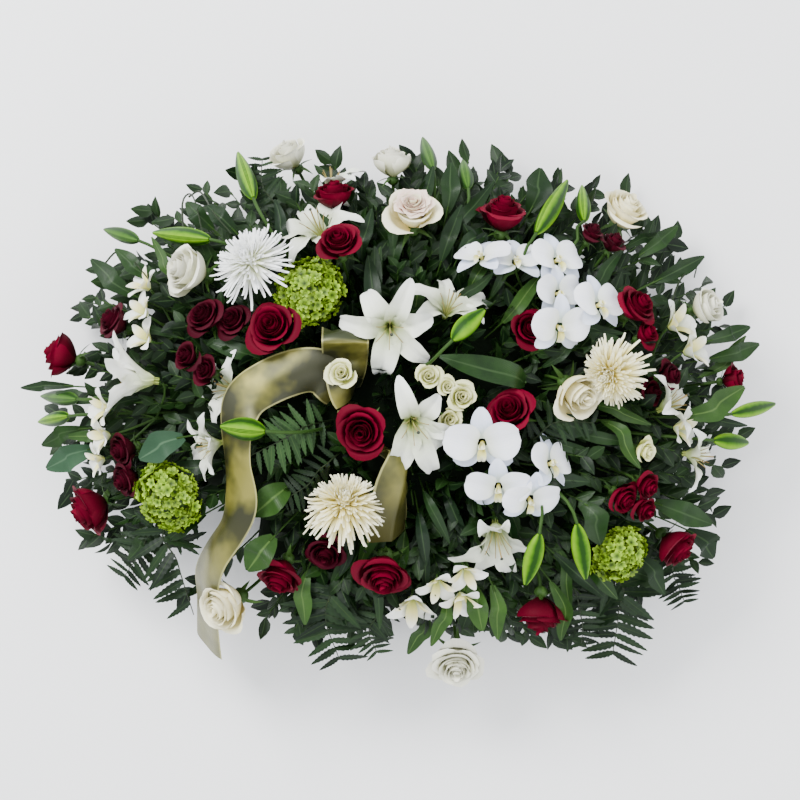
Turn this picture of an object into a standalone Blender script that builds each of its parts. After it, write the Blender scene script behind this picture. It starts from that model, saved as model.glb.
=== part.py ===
"""Oval spray of cut flowers on a shallow foam tray, lying on its back.

X runs along the long side, Y across it and Z up out of the tray. The origin is the
middle of the tray's underside. Heads are placed by their middle in the plan, in
centimetres, and stand on a dome; each faces outwards from it unless its row says more.
Every bloom is a closed solid, and the stems, buds and leaves are one fused thicket.
"""

import math
import random

import bmesh
import bpy
import numpy as np
from mathutils import Matrix, Vector

CM = 0.01
MM = 0.001

# The dome that the heads stand on
HALF_LENGTH = 0.47
HALF_WIDTH = 0.345
RIM_HEIGHT = 0.085
CROWN_RISE = 0.19
RIM_TILT = 80.0
TILT_POWER = 1.3

# Tray and foam
TRAY_LENGTH = 0.39
TRAY_WIDTH = 0.17
TRAY_DEPTH = 0.030
TRAY_WALL = 0.0025
FOAM_LENGTH = 0.372
FOAM_WIDTH = 0.152
FOAM_TOP = 0.100
PEG_RADIUS = 0.005
PEG_DEPTH = 0.045
PEG_COLUMNS = 4

# Thicket of stems and leaves
CORE_LENGTH = 0.345
CORE_WIDTH = 0.245
CORE_TOP = 0.225
CORE_FOOT = 0.045
ROOT_REACH = 0.42
ROOT_LIMIT = 0.19
ROOT_HEIGHT = 0.133
STEM_RADIUS = 0.0024
LOWEST = 0.012
CLEARANCE = 0.0004
TRIM = 0.0007
SEED = 11

# Sheet-like pieces
RIBBON_WIDTH = 0.050
RIBBON_THICKNESS = 0.0010
FERN_THICKNESS = 0.0011

RED = (0.19, 0.002, 0.012)
WHITE = (0.78, 0.77, 0.70)
CREAM = (0.84, 0.78, 0.55)
LILY_WHITE = (0.68, 0.70, 0.66)
ORCHID_WHITE = (0.88, 0.88, 0.93)
LIME = (0.22, 0.44, 0.03)
LEAF_GREEN = (0.035, 0.075, 0.025)
FERN_GREEN = (0.022, 0.050, 0.020)
GOLD = (0.36, 0.33, 0.07)
TRAY_GREEN = (0.02, 0.06, 0.03)
FOAM_GREEN = (0.06, 0.16, 0.07)

# Each head: x, y, diameter in cm, then where the photo shows it: lean from straight
# up and heading in the plan in degrees (None follows the dome), and lift in cm.
RED_ROSES = {
    "red_rose_1": [(-44.3, 7.2, 5.0, 86, None, 0.0)],
    "red_rose_2": [(-36.8, 11.4, 4.9, None, None, 0.0)],
    "red_rose_3": [(-24.9, 11.9, 5.2, None, None, -1.0), (-21.2, 11.3, 4.6, None, None, -1.4)],
    "red_rose_4": [(-27.1, 6.8, 4.0, None, None, -0.6), (-24.6, 5.0, 4.0, None, None, -0.8)],
    "red_rose_5": [(-16.0, 10.4, 6.8, 25, None, 1.0)],
    "red_rose_6": [(-8.5, 27.7, 4.9, 72, 95, -1.0)],
    "red_rose_7": [(-7.7, 21.1, 5.7, 38, None, 3.4)],
    "red_rose_8": [(13.3, 25.2, 6.4, 68, 84, 0.0)],
    "red_rose_9": [(16.6, 10.4, 5.0, 20, None, -2.5)],
    "red_rose_10": [(30.3, 13.3, 5.5, None, None, 0.0), (31.6, 9.8, 3.8, None, None, -1.0)],
    "red_rose_11": [(24.7, 22.8, 3.5, None, None, 0.0), (27.5, 21.6, 3.5, None, None, 0.0)],
    "red_rose_12": [(32.0, 2.2, 4.0, 50, None, -1.5), (34.4, 3.9, 4.0, 54, None, -1.3)],
    "red_rose_13": [(43.3, 4.0, 3.9, None, None, 0.0)],
    "red_rose_14": [(-4.7, -2.6, 6.5, 12, None, 1.5)],
    "red_rose_15": [(13.9, -0.2, 5.9, 30, 120, 0.0)],
    "red_rose_16": [(31.6, -9.6, 4.0, None, None, 0.0), (28.6, -11.3, 4.4, None, None, 0.0),
                    (31.2, -12.6, 4.0, None, None, 0.0)],
    "red_rose_17": [(35.8, -17.7, 5.2, None, None, 0.0)],
    "red_rose_18": [(18.1, -26.3, 6.2, 84, -92, 0.0)],
    "red_rose_19": [(-2.0, -20.7, 7.0, 48, None, 1.0)],
    "red_rose_20": [(-9.4, -18.0, 5.6, None, None, -2.6)],
    "red_rose_21": [(-15.2, -21.2, 6.0, 60, None, 0.0)],
    "red_rose_22": [(-40.3, -12.9, 5.4, None, None, 0.0)],
    "red_rose_23": [(-35.5, -5.1, 4.6, None, None, -0.5), (-35.2, -8.9, 4.6, None, None, -0.5)],
}
WHITE_ROSES = {
    "white_rose_1": [(-14.6, 33.7, 5.3, 80, 105, 0.0)],
    "white_rose_2": [(-1.0, 32.1, 5.2, 88, 92, 1.0)],
    "white_rose_3": [(1.6, 25.2, 7.5, 38, 88, 1.5)],
    "white_rose_4": [(-27.2, 17.9, 7.0, 68, 165, 0.5)],
    "white_rose_5": [(29.4, 26.1, 6.2, 72, None, 0.5)],
    "white_rose_6": [(39.8, 13.5, 5.1, None, None, 0.5)],
    "white_rose_7": [(22.5, 2.2, 7.0, 42, -40, 1.0)],
    "white_rose_8": [(-22.6, -25.1, 6.6, 55, -140, 1.5)],
    "white_rose_9": [(7.4, -33.0, 6.8, 40, -90, 0.0)],
}
SPRAY_ROSES = {
    "spray_rose_1": [(-7.3, 4.6, 3.9, None, None, 1.8)],
    "spray_rose_2": [(3.6, 4.3, 3.4, None, None, -0.5), (6.0, 3.0, 2.6, None, None, -0.6),
                     (7.8, 1.7, 3.8, None, None, -0.5), (6.3, -1.2, 3.4, None, None, -0.6)],
    "spray_rose_3": [(31.2, -5.2, 3.4, None, None, 0.5)],
}
MUMS = {
    "spider_mum_1": (-19.0, 18.9, 10.0, 45, 130, 2.0),
    "spider_mum_2": (-6.9, -12.0, 9.8, 42, -88, 1.5),
    "spider_mum_3": (27.6, 6.0, 9.4, 40, 10, 2.0),
}
VIBURNUMS = {
    "viburnum_1": (-11.6, 15.1, 8.8, None, None, -1.0),
    "viburnum_2": (-29.6, -11.1, 8.8, None, None, 0.0),
    "viburnum_3": (28.1, -18.5, 7.6, None, None, -1.0),
}
ALL_PETALS = (0, 1, 2, 3, 4, 5)
# Sprays of one or more flowers: kind, x, y, span in cm, lean, heading, lift, then for a
# lily how far its petals flare in degrees and which of its six petals show
SPRAYS = {
    "lily_1": [("lily", -1.3, 9.8, 12.4, 16, -90, 2.0, 112, ALL_PETALS),
               ("lily", 6.3, 13.6, 9.4, 40, 70, -0.4, 105, ALL_PETALS)],
    "lily_2": [("lily", -10.9, 23.9, 11.0, 50, 120, -1.0, 105, ALL_PETALS),
               ("lily", -8.9, 30.2, 8.0, 70, 90, -1.0, 75, (1, 2, 4))],
    "lily_3": [("lily", 1.8, -2.2, 12.0, 26, -75, 2.6, 105, ALL_PETALS)],
    "lily_4": [("lily", 12.4, -17.4, 10.4, 58, -84, -0.6, 95, ALL_PETALS)],
    "lily_5": [("lily", -24.6, -4.6, 8.0, 62, -165, -1.0, 70, ALL_PETALS),
               ("lily", -22.4, 2.9, 8.6, 45, 170, -2.5, 85, (1, 2, 3, 4))],
    "alstroemeria_1": [("small", -33.4, 12.9, 4.2, None, None, 0.6, 80, ALL_PETALS),
                       ("small", -33.0, 9.4, 4.2, None, None, 0.6, 80, ALL_PETALS),
                       ("small", -33.2, 16.4, 4.2, None, None, 0.4, 80, ALL_PETALS)],
    "alstroemeria_2": [("lily", -35.4, 3.8, 9.0, 84, 172, 0.5, 52, ALL_PETALS),
                       ("small", -38.6, 0.2, 4.4, None, None, 0.4, 80, ALL_PETALS),
                       ("small", -38.6, -3.4, 4.4, None, None, 0.4, 80, ALL_PETALS),
                       ("small", -39.2, -6.6, 3.8, None, None, 0.0, 80, ALL_PETALS)],
    "alstroemeria_3": [("small", 1.6, -25.4, 5.6, None, None, -0.8, 80, ALL_PETALS),
                       ("small", 4.9, -22.6, 4.4, None, None, 0.0, 80, ALL_PETALS),
                       ("small", 8.4, -21.0, 4.4, None, None, 0.4, 80, ALL_PETALS),
                       ("small", 7.9, -24.6, 4.6, None, None, 0.2, 80, ALL_PETALS)],
    "alstroemeria_4": [("lily", 35.3, 1.0, 8.4, 74, 25, 0.0, 88, (0, 1, 3, 5)),
                       ("lily", 38.8, -6.0, 7.6, 76, -10, 0.0, 88, (0, 2, 4)),
                       ("small", 36.4, -2.4, 4.6, None, None, 0.6, 80, ALL_PETALS),
                       ("small", 35.9, 11.3, 5.2, 60, None, 0.2, 80, ALL_PETALS),
                       ("small", 38.0, 7.9, 5.2, 66, None, 0.2, 80, ALL_PETALS)],
    "orchid_spray_1": [("orchid", 10.3, -4.4, 7.6, 22, -100, 2.0, 0, ()),
                       ("orchid", 12.4, -10.0, 6.6, 34, -95, 1.5, 0, ()),
                       ("orchid", 16.6, -11.6, 6.2, 40, -60, 1.4, 0, ()),
                       ("orchid", 19.4, -6.6, 6.4, 52, 20, 0.0, 0, ())],
    "orchid_spray_2": [("orchid", 10.2, 20.0, 6.0, 55, 110, 0.4, 0, ()),
                       ("orchid", 14.8, 19.4, 6.0, 46, 80, 0.6, 0, ()),
                       ("orchid", 20.3, 19.4, 6.4, 44, 40, 0.6, 0, ()),
                       ("orchid", 20.4, 14.9, 5.8, 36, 10, 0.8, 0, ()),
                       ("orchid", 20.4, 10.4, 6.6, 30, -30, 1.2, 0, ()),
                       ("orchid", 25.6, 13.6, 6.6, 46, 30, 0.8, 0, ())],
}
SPRAY_DROP = 0.045
PETAL_THICKNESS = 0.0018
LILY_DEPTH = 0.30
SMALL_DEPTH = 0.36
ORCHID_DEPTH = 0.009
# Half width of a petal at its stations between root and tip, as a share of its widest
PETAL_SHAPE = {2: (1.0,), 3: (0.95, 1.0)}
LARGEST_SPRAY_ROSE = 4.2
# Lily buds: tip x, y and base x, y in cm, and lift of the bud in cm
BUDS = [
    (-21.3, 33.8, -18.9, 27.3, 1.5), (-32.0, 23.0, -24.4, 21.9, 1.5), (-39.0, 23.8, -34.1, 22.1, 0.5),
    (3.0, 35.9, 4.3, 31.2, 0.0), (8.2, 32.5, 8.8, 28.6, 0.0), (21.8, 29.9, 17.8, 23.2, 1.5),
    (23.9, 29.4, 23.8, 24.9, 0.0), (10.6, 12.6, 6.6, 8.8, 3.6), (-22.5, -2.0, -16.9, -2.6, 4.0),
    (-47.3, 1.8, -41.7, 1.4, 0.5), (-47.7, -1.6, -43.0, -0.8, 0.0), (49.5, 0.8, 43.0, -0.5, 0.0),
    (45.5, -4.3, 40.5, -3.9, 0.0), (15.9, -22.1, 17.6, -15.6, 3.2), (23.7, -21.5, 22.4, -14.4, 2.5),
]
BUD_WIDTH = 0.021
# Large leaves: tip x, y and base x, y in cm, width in cm and lift in cm
LEAVES = [
    (-33.2, -6.0, -28.8, -3.8, 4.4, 0.6), (-19.4, -20.4, -16.4, -16.4, 4.0, 0.8),
    (-18.8, -13.4, -14.4, -9.8, 3.8, 0.2), (5.0, 6.8, 16.6, 3.4, 3.4, 0.0),
    (44.2, 3.2, 37.4, -0.9, 4.6, 0.6), (25.6, -17.2, 24.0, -12.0, 3.4, 0.5),
    (10.6, -28.4, 9.4, -22.6, 3.0, 0.0), (-46.0, -7.6, -40.4, -5.0, 3.6, 0.0),
    (40.4, -14.8, 33.6, -12.2, 3.2, 0.0), (41.0, -19.4, 38.4, -16.0, 3.6, 0.0),
    (30.6, -7.4, 26.4, -1.2, 2.0, 0.4), (-46.6, -4.6, -41.6, -2.4, 2.4, 0.4),
    (1.0, -31.7, 3.6, -26.6, 2.2, -2.4), (4.0, -30.4, 6.2, -24.4, 2.0, 0.0),
    (18.2, 31.4, 17.2, 26.2, 3.6, 0.0), (-27.8, 27.0, -24.8, 24.0, 2.4, 0.0),
    (-24.9, 26.4, -21.6, 23.4, 2.4, 0.4), (-40.2, 19.6, -35.0, 15.0, 2.6, 0.0),
    (-37.0, 20.9, -32.4, 17.0, 2.4, 0.0), (-49.6, 2.9, -43.6, 3.2, 1.4, 0.2),
    (46.8, 8.6, 41.2, 6.8, 2.6, 0.4), (45.6, 10.8, 40.4, 9.0, 2.2, 0.4),
    (36.2, 24.0, 31.6, 20.4, 2.2, 0.0), (39.6, 20.0, 33.8, 17.0, 2.2, 0.0),
    (6.6, 32.0, 6.2, 26.0, 2.6, -0.6),
    (-30.0, -16.8, -25.6, -13.6, 2.4, -0.4), (-21.6, -15.0, -18.2, -12.4, 2.6, -0.6),
    (20.8, -29.8, 20.0, -22.6, 2.2, 0.0), (-12.2, -27.6, -12.6, -21.0, 2.4, 0.0),
    (12.6, -29.6, 12.2, -23.0, 2.2, -0.4), (34.4, -24.0, 31.2, -19.0, 2.4, 0.0),
    (-35.2, -19.4, -31.6, -15.6, 2.4, 0.0), (24.6, -2.6, 18.6, -1.4, 3.2, -1.0),
]
# Fern fronds: rib points x, y and lift in cm, leaflet length in cm and leaflet pairs
FERNS = {
    "fern_frond_1": ([(-11.2, -1.8, -1.6), (-14.6, -3.6, 1.4), (-19.0, -5.8, 1.6)], 3.0, 8),
    "fern_frond_2": ([(-32.4, -13.4, -3.0), (-32.0, -19.0, -1.4), (-28.0, -26.2, 0.6)], 4.0, 11),
    "fern_frond_3": ([(-8.0, -21.6, -3.4), (-9.6, -26.4, -0.6), (-7.9, -32.4, 1.0)], 4.6, 10),
    "fern_frond_4": ([(27.6, -21.4, -3.0), (28.6, -26.0, -0.4), (28.0, -32.2, 1.0)], 5.0, 10),
}
SMALL_FERNS = [([(-15.0, 25.0, -3.4), (-17.8, 29.0, -0.6), (-18.2, 33.2, 0.0)], 2.4, 7)]
# Ribbon strips: x, y, lift, and width factor and turn of the width in degrees
RIBBON_STRIPS = [
    [(-9.4, 3.0, -1.9, 0.6, 120), (-10.6, 5.0, -0.7, 0.9, 120), (-13.4, 4.9, -0.4, 1.0, 112),
     (-17.0, 3.2, -0.2, 1.0, 118), (-20.6, 0.9, -0.2, 1.0, 140), (-21.6, -3.2, 0.3, 0.95, 175),
     (-20.8, -9.4, 0.6, 0.9, 184), (-22.2, -14.6, 0.8, 0.85, 170), (-23.9, -19.2, 0.6, 0.8, 172),
     (-24.4, -24.0, -1.8, 0.8, 172), (-25.6, -30.6, 0.2, 0.9, 162)],
    [(-9.4, 3.2, -2.0, 0.6, 170), (-9.4, 7.6, -0.6, 1.0, 190), (-8.0, 10.2, -0.6, 1.0, 180),
     (-6.8, 8.2, -2.2, 0.8, 175), (-8.6, 4.4, -2.9, 0.6, 170)],
    [(-9.4, 3.4, -2.4, 0.6, 180), (-8.2, -1.8, -3.4, 0.6, 185), (-3.4, -7.4, -2.2, 0.7, 205),
     (-0.6, -10.4, -0.6, 0.75, 190), (-1.4, -16.4, -1.6, 0.6, 175)],
]


def dome_point(x, y, lift=0.0):
    """Point of the dome over the plan point, with x, y and lift in centimetres."""
    across = (x * CM / HALF_LENGTH) ** 2 + (y * CM / HALF_WIDTH) ** 2
    height = RIM_HEIGHT + CROWN_RISE * math.sqrt(max(0.0, 1.0 - across))
    return Vector((x * CM, y * CM, max(LOWEST + 0.02, height + lift * CM)))


def facing(x, y, lean=None, heading=None):
    """Unit direction a head looks in: outwards from the dome, leaning more at the rim."""
    reach = math.hypot(x * CM / HALF_LENGTH, y * CM / HALF_WIDTH)
    if lean is None:
        lean = RIM_TILT * min(1.0, reach) ** TILT_POWER
    if heading is None:
        heading = math.degrees(math.atan2(y / HALF_WIDTH ** 2, x / HALF_LENGTH ** 2))
    tilt, turn = math.radians(lean), math.radians(heading)
    return Vector((math.sin(tilt) * math.cos(turn), math.sin(tilt) * math.sin(turn), math.cos(tilt)))


def basis(axis):
    """Two unit directions square to the axis, the second as near to +Y as it can be."""
    up = Vector((0, 1, 0)) if abs(axis.y) < 0.9 else Vector((0, 0, 1))
    side = up.cross(axis).normalized()
    return side, axis.cross(side).normalized()


def loft(rings, start=None, end=None):
    """Closed body through rings of equally many points, ending in a point or a flat cap."""
    count = len(rings[0])
    points = [Vector(p) for ring in rings for p in ring]
    faces = []
    for row in range(len(rings) - 1):
        for i in range(count):
            j = (i + 1) % count
            low, high = row * count, (row + 1) * count
            faces.append((low + i, low + j, high + j, high + i))
    for tip, first, order in ((start, 0, -1), (end, (len(rings) - 1) * count, 1)):
        rim = list(range(first, first + count))[::order]
        if tip is None:
            faces.append(tuple(rim))
        else:
            points.append(Vector(tip))
            faces.extend((rim[i], rim[(i + 1) % count], len(points) - 1) for i in range(count))
    return points, faces


def arc_spine(root, along, up, length, start_angle, end_angle, steps):
    """Points of a spine that leaves root at start_angle above along and turns to end_angle."""
    points, normals, here = [root.copy()], [], root.copy()
    angles = [math.radians(start_angle + (end_angle - start_angle) * i / (steps - 1)) for i in range(steps)]
    for angle in angles:
        here = here + (along * math.cos(angle) + up * math.sin(angle)) * (length / steps)
        points.append(here)
        normals.append(up * math.cos(angle) - along * math.sin(angle))
    return points, [normals[0]] + normals


def curve_points(knots, steps):
    """Points of a smooth curve through the knots, at even steps of its parameter."""
    knots = [Vector(k) for k in knots]
    padded = [2 * knots[0] - knots[1]] + knots + [2 * knots[-1] - knots[-2]]
    points = []
    for i in range(steps + 1):
        place = (len(knots) - 1) * i / steps
        span = min(int(place), len(knots) - 2)
        t = place - span
        a, b, c, d = padded[span:span + 4]
        points.append(0.5 * ((2 * b) + (c - a) * t + (2 * a - 5 * b + 4 * c - d) * t * t
                             + (3 * b - a - 3 * c + d) * t ** 3))
    return points


def blade(points, normals, side, half_widths, thickness, cup, keep_out):
    """Leaf with a flat diamond section, its edges raised by cup times its width and bent clear."""
    rings = []
    for point, normal, half in zip(points[:-1], normals, half_widths):
        lift = normal * (cup * half)
        left, right = push_clear([point - side * half + lift, point + side * half + lift], keep_out, 1.5 * MM)
        rings.append([left, point - normal * thickness / 2, right, point + normal * thickness / 2])
    return loft(rings, end=points[-1])


def tube(points, radii, sides, end=None):
    """Round body along points with a radius at each, without twist."""
    rings = []
    side = basis((points[1] - points[0]).normalized())[0]
    for i, (point, radius) in enumerate(zip(points, radii)):
        ahead = (points[min(i + 1, len(points) - 1)] - points[max(i - 1, 0)]).normalized()
        side = (side - ahead * side.dot(ahead)).normalized()
        over = ahead.cross(side)
        turns = [2 * math.pi * k / sides for k in range(sides)]
        rings.append([point + (side * math.cos(a) + over * math.sin(a)) * radius for a in turns])
    return loft(rings, end=end)


def rose(centre, axis, diameter, segments=10):
    """Rose head: an outer cup with nested rims inside it, each rim waved into petals."""
    radius, depth = diameter / 2, diameter * 0.82
    side, over = basis(axis)
    # radius, height and petal wave of each ring, from the calyx to the heart
    profile = [(0.42, 0.04, 0.0), (0.94, 0.44, 0.05), (1.00, 0.86, 0.12), (0.66, 0.70, 0.05),
               (0.52, 1.00, 0.16)]
    rings = []
    for row, (out, height, wave) in enumerate(profile):
        ring = []
        for k in range(segments):
            turn = 2 * math.pi * (k + 0.33 * row) / segments
            swell = wave if k % 2 else -wave
            spread = side * math.cos(turn) + over * math.sin(turn)
            ring.append(centre + spread * radius * out * (1 + swell)
                        + axis * depth * (height - 0.5 + 0.25 * swell))
        rings.append(ring)
    return [loft(rings, centre - axis * depth * 0.5, centre + axis * depth * 0.26)]


def small_rose(centre, axis, diameter):
    """Spray rose: a small cup with one inner rim."""
    radius, depth = diameter / 2, diameter * 0.85
    side, over = basis(axis)
    profile = [(0.45, 0.05, 0.0), (1.00, 0.62, 0.10), (0.66, 0.82, 0.08), (0.34, 1.00, 0.16)]
    rings = []
    for row, (out, height, wave) in enumerate(profile):
        turns = [2 * math.pi * (k + 0.3 * row) / 8 for k in range(8)]
        swells = [wave if k % 2 else -wave for k in range(8)]
        rings.append([centre + (side * math.cos(a) + over * math.sin(a)) * radius * out * (1 + s)
                      + axis * depth * (height - 0.5 + 0.3 * s) for a, s in zip(turns, swells)])
    return [loft(rings, centre - axis * depth * 0.5, centre + axis * depth * 0.38)]


def spider_mum(centre, axis, diameter):
    """Spider chrysanthemum: curved needle petals in two tiers round a domed heart."""
    radius = diameter / 2
    side, over = basis(axis)
    heart = tube([centre - axis * radius * 0.42, centre - axis * radius * 0.10, centre + axis * radius * 0.22],
                 [radius * 0.20, radius * 0.42, radius * 0.30], 6, centre + axis * radius * 0.34)
    bodies = [heart]
    for count, lift, start_angle, end_angle, reach in ((12, -0.12, 12, -22, 0.98), (8, 0.06, 48, 8, 0.80)):
        for k in range(count):
            turn = 2 * math.pi * (k + (0.5 if count == 8 else 0.0)) / count
            out = side * math.cos(turn) + over * math.sin(turn)
            across = axis.cross(out)
            root = centre + out * radius * 0.16 + axis * radius * lift
            long_way = radius * (reach - 0.16) * (1.06 if k % 2 else 0.94)
            points, normals = arc_spine(root, out, axis, long_way, start_angle, end_angle, 2)
            rings = [[p - across * w, p + across * w, p + n * w * 1.2]
                     for p, n, w in zip(points[:2], normals, (2.4 * MM, 3.2 * MM))]
            bodies.append(loft(rings, end=points[2]))
    return bodies


def viburnum(centre, axis, diameter):
    """Ball of tiny florets: every face of a round ball is raised to a point."""
    ball = bmesh.new()
    bmesh.ops.create_icosphere(ball, subdivisions=2, radius=diameter * 0.42)
    poked = bmesh.ops.poke(ball, faces=ball.faces[:])
    for i, vert in enumerate(poked["verts"]):
        vert.co *= 1.16 if i % 3 else 1.24
    side, over = basis(axis)
    turn = Matrix((side, over, axis)).transposed()
    points = [centre + turn @ Vector((v.co.x, v.co.y, v.co.z * 0.72)) for v in ball.verts]
    faces = [tuple(v.index for v in f.verts) for f in ball.faces]
    ball.free()
    return [(points, faces)]


def star_flower(base, axis, petals, thickness):
    """Open flower as one closed body: petals cut apart to a small hub over its base.

    Each petal is (turn, length, half width, angle over the plane at its root and at its
    tip, stretches); its edges are sharp and its middle rib is thick, above and below."""
    side, over = basis(axis)
    count = len(petals)
    hub = base + axis * thickness * 2.5
    ribs, edges = [], []
    for k, (turn, length, half, start_angle, end_angle, steps) in enumerate(petals):
        out = side * math.cos(turn) + over * math.sin(turn)
        points, normals = arc_spine(hub, out, axis, length, start_angle, end_angle, steps)
        share = min((petals[(k + 1) % count][0] - turn) % (2 * math.pi),
                    (turn - petals[k - 1][0]) % (2 * math.pi)) / 2
        rib, edge = [], []
        for i in range(1, steps):
            reach = (points[i] - hub).dot(out)
            width = min(half * PETAL_SHAPE[steps][i - 1], 0.90 * reach * math.tan(min(share, 1.0)))
            raised = points[i] + normals[i] * width * 0.25
            across = axis.cross(out)
            rib.append((points[i] + normals[i] * thickness / 2, points[i] - normals[i] * thickness / 2))
            edge.append((raised - across * width, raised + across * width))
        ribs.append(rib + [points[-1]])
        edges.append(edge)
    points = [hub + axis * thickness * 0.8, base]
    notches = []
    for k in range(count):
        first, second = ribs[k][0][0], ribs[(k + 1) % count][0][0]
        notches.append(len(points))
        points.append(hub + ((first + second) / 2 - hub) * 0.45 - axis * thickness * 0.4)
    faces = []
    for k in range(count):
        left, right = notches[k - 1], notches[k]
        start = len(points)
        for (top, bottom), (low, high) in zip(ribs[k][:-1], edges[k]):
            points += [top, bottom, low, high]
        points.append(ribs[k][-1])
        tip = len(points) - 1
        for sheet in (0, 1):
            centre, rib = sheet, start + sheet
            made = [(centre, left, rib), (centre, rib, right), (left, start + 2, rib), (rib, start + 3, right)]
            for i in range(1, len(edges[k])):
                here, after = start + 4 * (i - 1), start + 4 * i
                made.append((here + 2, after + 2, after + sheet, here + sheet))
                made.append((here + sheet, after + sheet, after + 3, here + 3))
            last = start + 4 * (len(edges[k]) - 1)
            made += [(last + 2, tip, last + sheet), (last + sheet, tip, last + 3)]
            faces += made if sheet == 0 else [face[::-1] for face in made]
    return [(points, faces)]


def lily(centre, axis, span, flare, petals):
    """Lily: six long pointed petals, three broad and three narrow, curling back."""
    base = centre - axis * span * LILY_DEPTH
    rows = [(math.pi / 3 * k + 0.26, span * 0.66, span * (0.125 if k % 2 else 0.095), 76, 90 - flare * 1.2, 3)
            for k in petals]
    return star_flower(base, axis, rows, PETAL_THICKNESS)


def alstroemeria(centre, axis, span):
    """Small funnel flower with five blunt petals."""
    base = centre - axis * span * SMALL_DEPTH
    rows = [(2 * math.pi / 5 * k + 0.3, span * 0.62, span * 0.20, 62, 8, 2) for k in range(5)]
    return star_flower(base, axis, rows, PETAL_THICKNESS)


def orchid(centre, axis, span):
    """Moth orchid: two broad side petals, three sepals and a small lip in front."""
    base = centre - axis * ORCHID_DEPTH
    shapes = ((14, 0.52, 0.25, 3), (90, 0.50, 0.15, 2), (166, 0.52, 0.25, 3), (220, 0.47, 0.13, 2),
              (270, 0.26, 0.08, 2), (320, 0.47, 0.13, 2))
    rows = [(math.radians(turn), span * reach, span * half, 22, -14, steps)
            for turn, reach, half, steps in shapes]
    return star_flower(base, axis, rows, PETAL_THICKNESS)


def petal_balls(centre, axis, reach, radius):
    """Balls under the spread petals of an open flower."""
    side, over = basis(axis)
    turns = [math.pi / 3 * k + 0.26 for k in range(6)]
    return [(centre + (side * math.cos(a) + over * math.sin(a)) * reach, radius) for a in turns]


def pedicels(heads, drop):
    """Thin stems that join the heads of one spray at a point under them, and that point."""
    middle = sum((seat for seat, _ in heads), Vector()) / len(heads)
    lean = sum((axis for _, axis in heads), Vector()).normalized()
    fork = middle - lean * drop
    bodies = []
    for seat, axis in heads:
        top = seat + axis * 2 * MM
        bend = seat - axis * 0.4 * drop
        bodies.append(tube([fork - lean * 2 * MM, bend, top], [STEM_RADIUS * 0.9] * 3, 3))
    return bodies, fork - lean * 2 * MM, lean


def push_clear(points, keep_out, margin):
    """Move each point out of every ball of keep_out, so that what it carries bends clear."""
    moved = []
    for point in points:
        for centre, radius in keep_out:
            away = point - centre
            if 0 < away.length < radius + margin:
                point = centre + away.normalized() * (radius + margin)
        moved.append(Vector((point.x, point.y, max(point.z, LOWEST + 2 * MM))))
    return moved


def stem_root(x, y):
    """Place inside the thicket's core that a stem to the plan point starts from."""
    root = Vector((x * CM * ROOT_REACH, y * CM * ROOT_REACH, ROOT_HEIGHT))
    root.x = max(-ROOT_LIMIT, min(ROOT_LIMIT, root.x))
    root.y = max(-0.68 * ROOT_LIMIT, min(0.68 * ROOT_LIMIT, root.y))
    return root


def stalk_route(base, axis, x, y, steps):
    """Route of a stem from the core that comes to base along axis."""
    root = stem_root(x, y)
    bend = base - axis * min(0.07, 0.5 * (base - root).length) - Vector((0, 0, 0.015))
    return [(1 - t) ** 2 * root + 2 * t * (1 - t) * bend + t * t * base
            for t in (i / steps for i in range(steps + 1))]


def head_stalk(seat, axis, calyx, keep_out):
    """Stem from the core whose calyx cup ends just under the seat of its head."""
    top = seat - axis * CLEARANCE
    route = stalk_route(top - axis * calyx, axis, seat.x / CM, seat.y / CM, 3)
    others = [(centre, radius) for centre, radius in keep_out if (centre - top).length > radius + 4 * MM]
    route[1:3] = push_clear(route[1:3], others, 4 * MM)
    return tube(route + [top], [STEM_RADIUS * 1.4] * 3 + [STEM_RADIUS * 1.5, calyx], 3)


def bud(row, keep_out):
    """Lily bud on its stem: a slim spindle with a blunt tip."""
    tip_x, tip_y, base_x, base_y, lift = row
    tip, base = dome_point(tip_x, tip_y, lift), dome_point(base_x, base_y, lift)
    along = (tip - base).normalized()
    route = push_clear(stalk_route(base, along, base_x, base_y, 2), keep_out, 4 * MM)
    length = (tip - base).length
    half = BUD_WIDTH / 2
    route[-1] = base
    route += [base + along * length * 0.30, base + along * length * 0.72]
    return tube(route, [STEM_RADIUS] * 3 + [half, half * 0.95], 4, tip)


def leaf(tip, base, width, x, y, keep_out, rng):
    """Leaf on its stalk: rises from the core, opens at its base and arches to its tip."""
    side = (tip - base).cross(Vector((0, 0, 1))).normalized()
    side = (side + Vector((0, 0, rng.uniform(-0.45, 0.45)))).normalized()
    root = stem_root(x, y)
    knots = [root, base, (tip + base) / 2 + Vector((0, 0, 0.10 * (tip - base).length)), tip]
    points = push_clear(curve_points(knots, 4), keep_out, 2.5 * MM)
    halves = [0.12, 0.16, 0.95, 0.95]
    normals = []
    for i in range(4):
        ahead = (points[i + 1] - points[i]).normalized()
        normals.append(side.cross(ahead).normalized())
    return blade(points, normals, side, [width * h / 2 for h in halves], 1.6 * MM, 0.22, keep_out)


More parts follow.
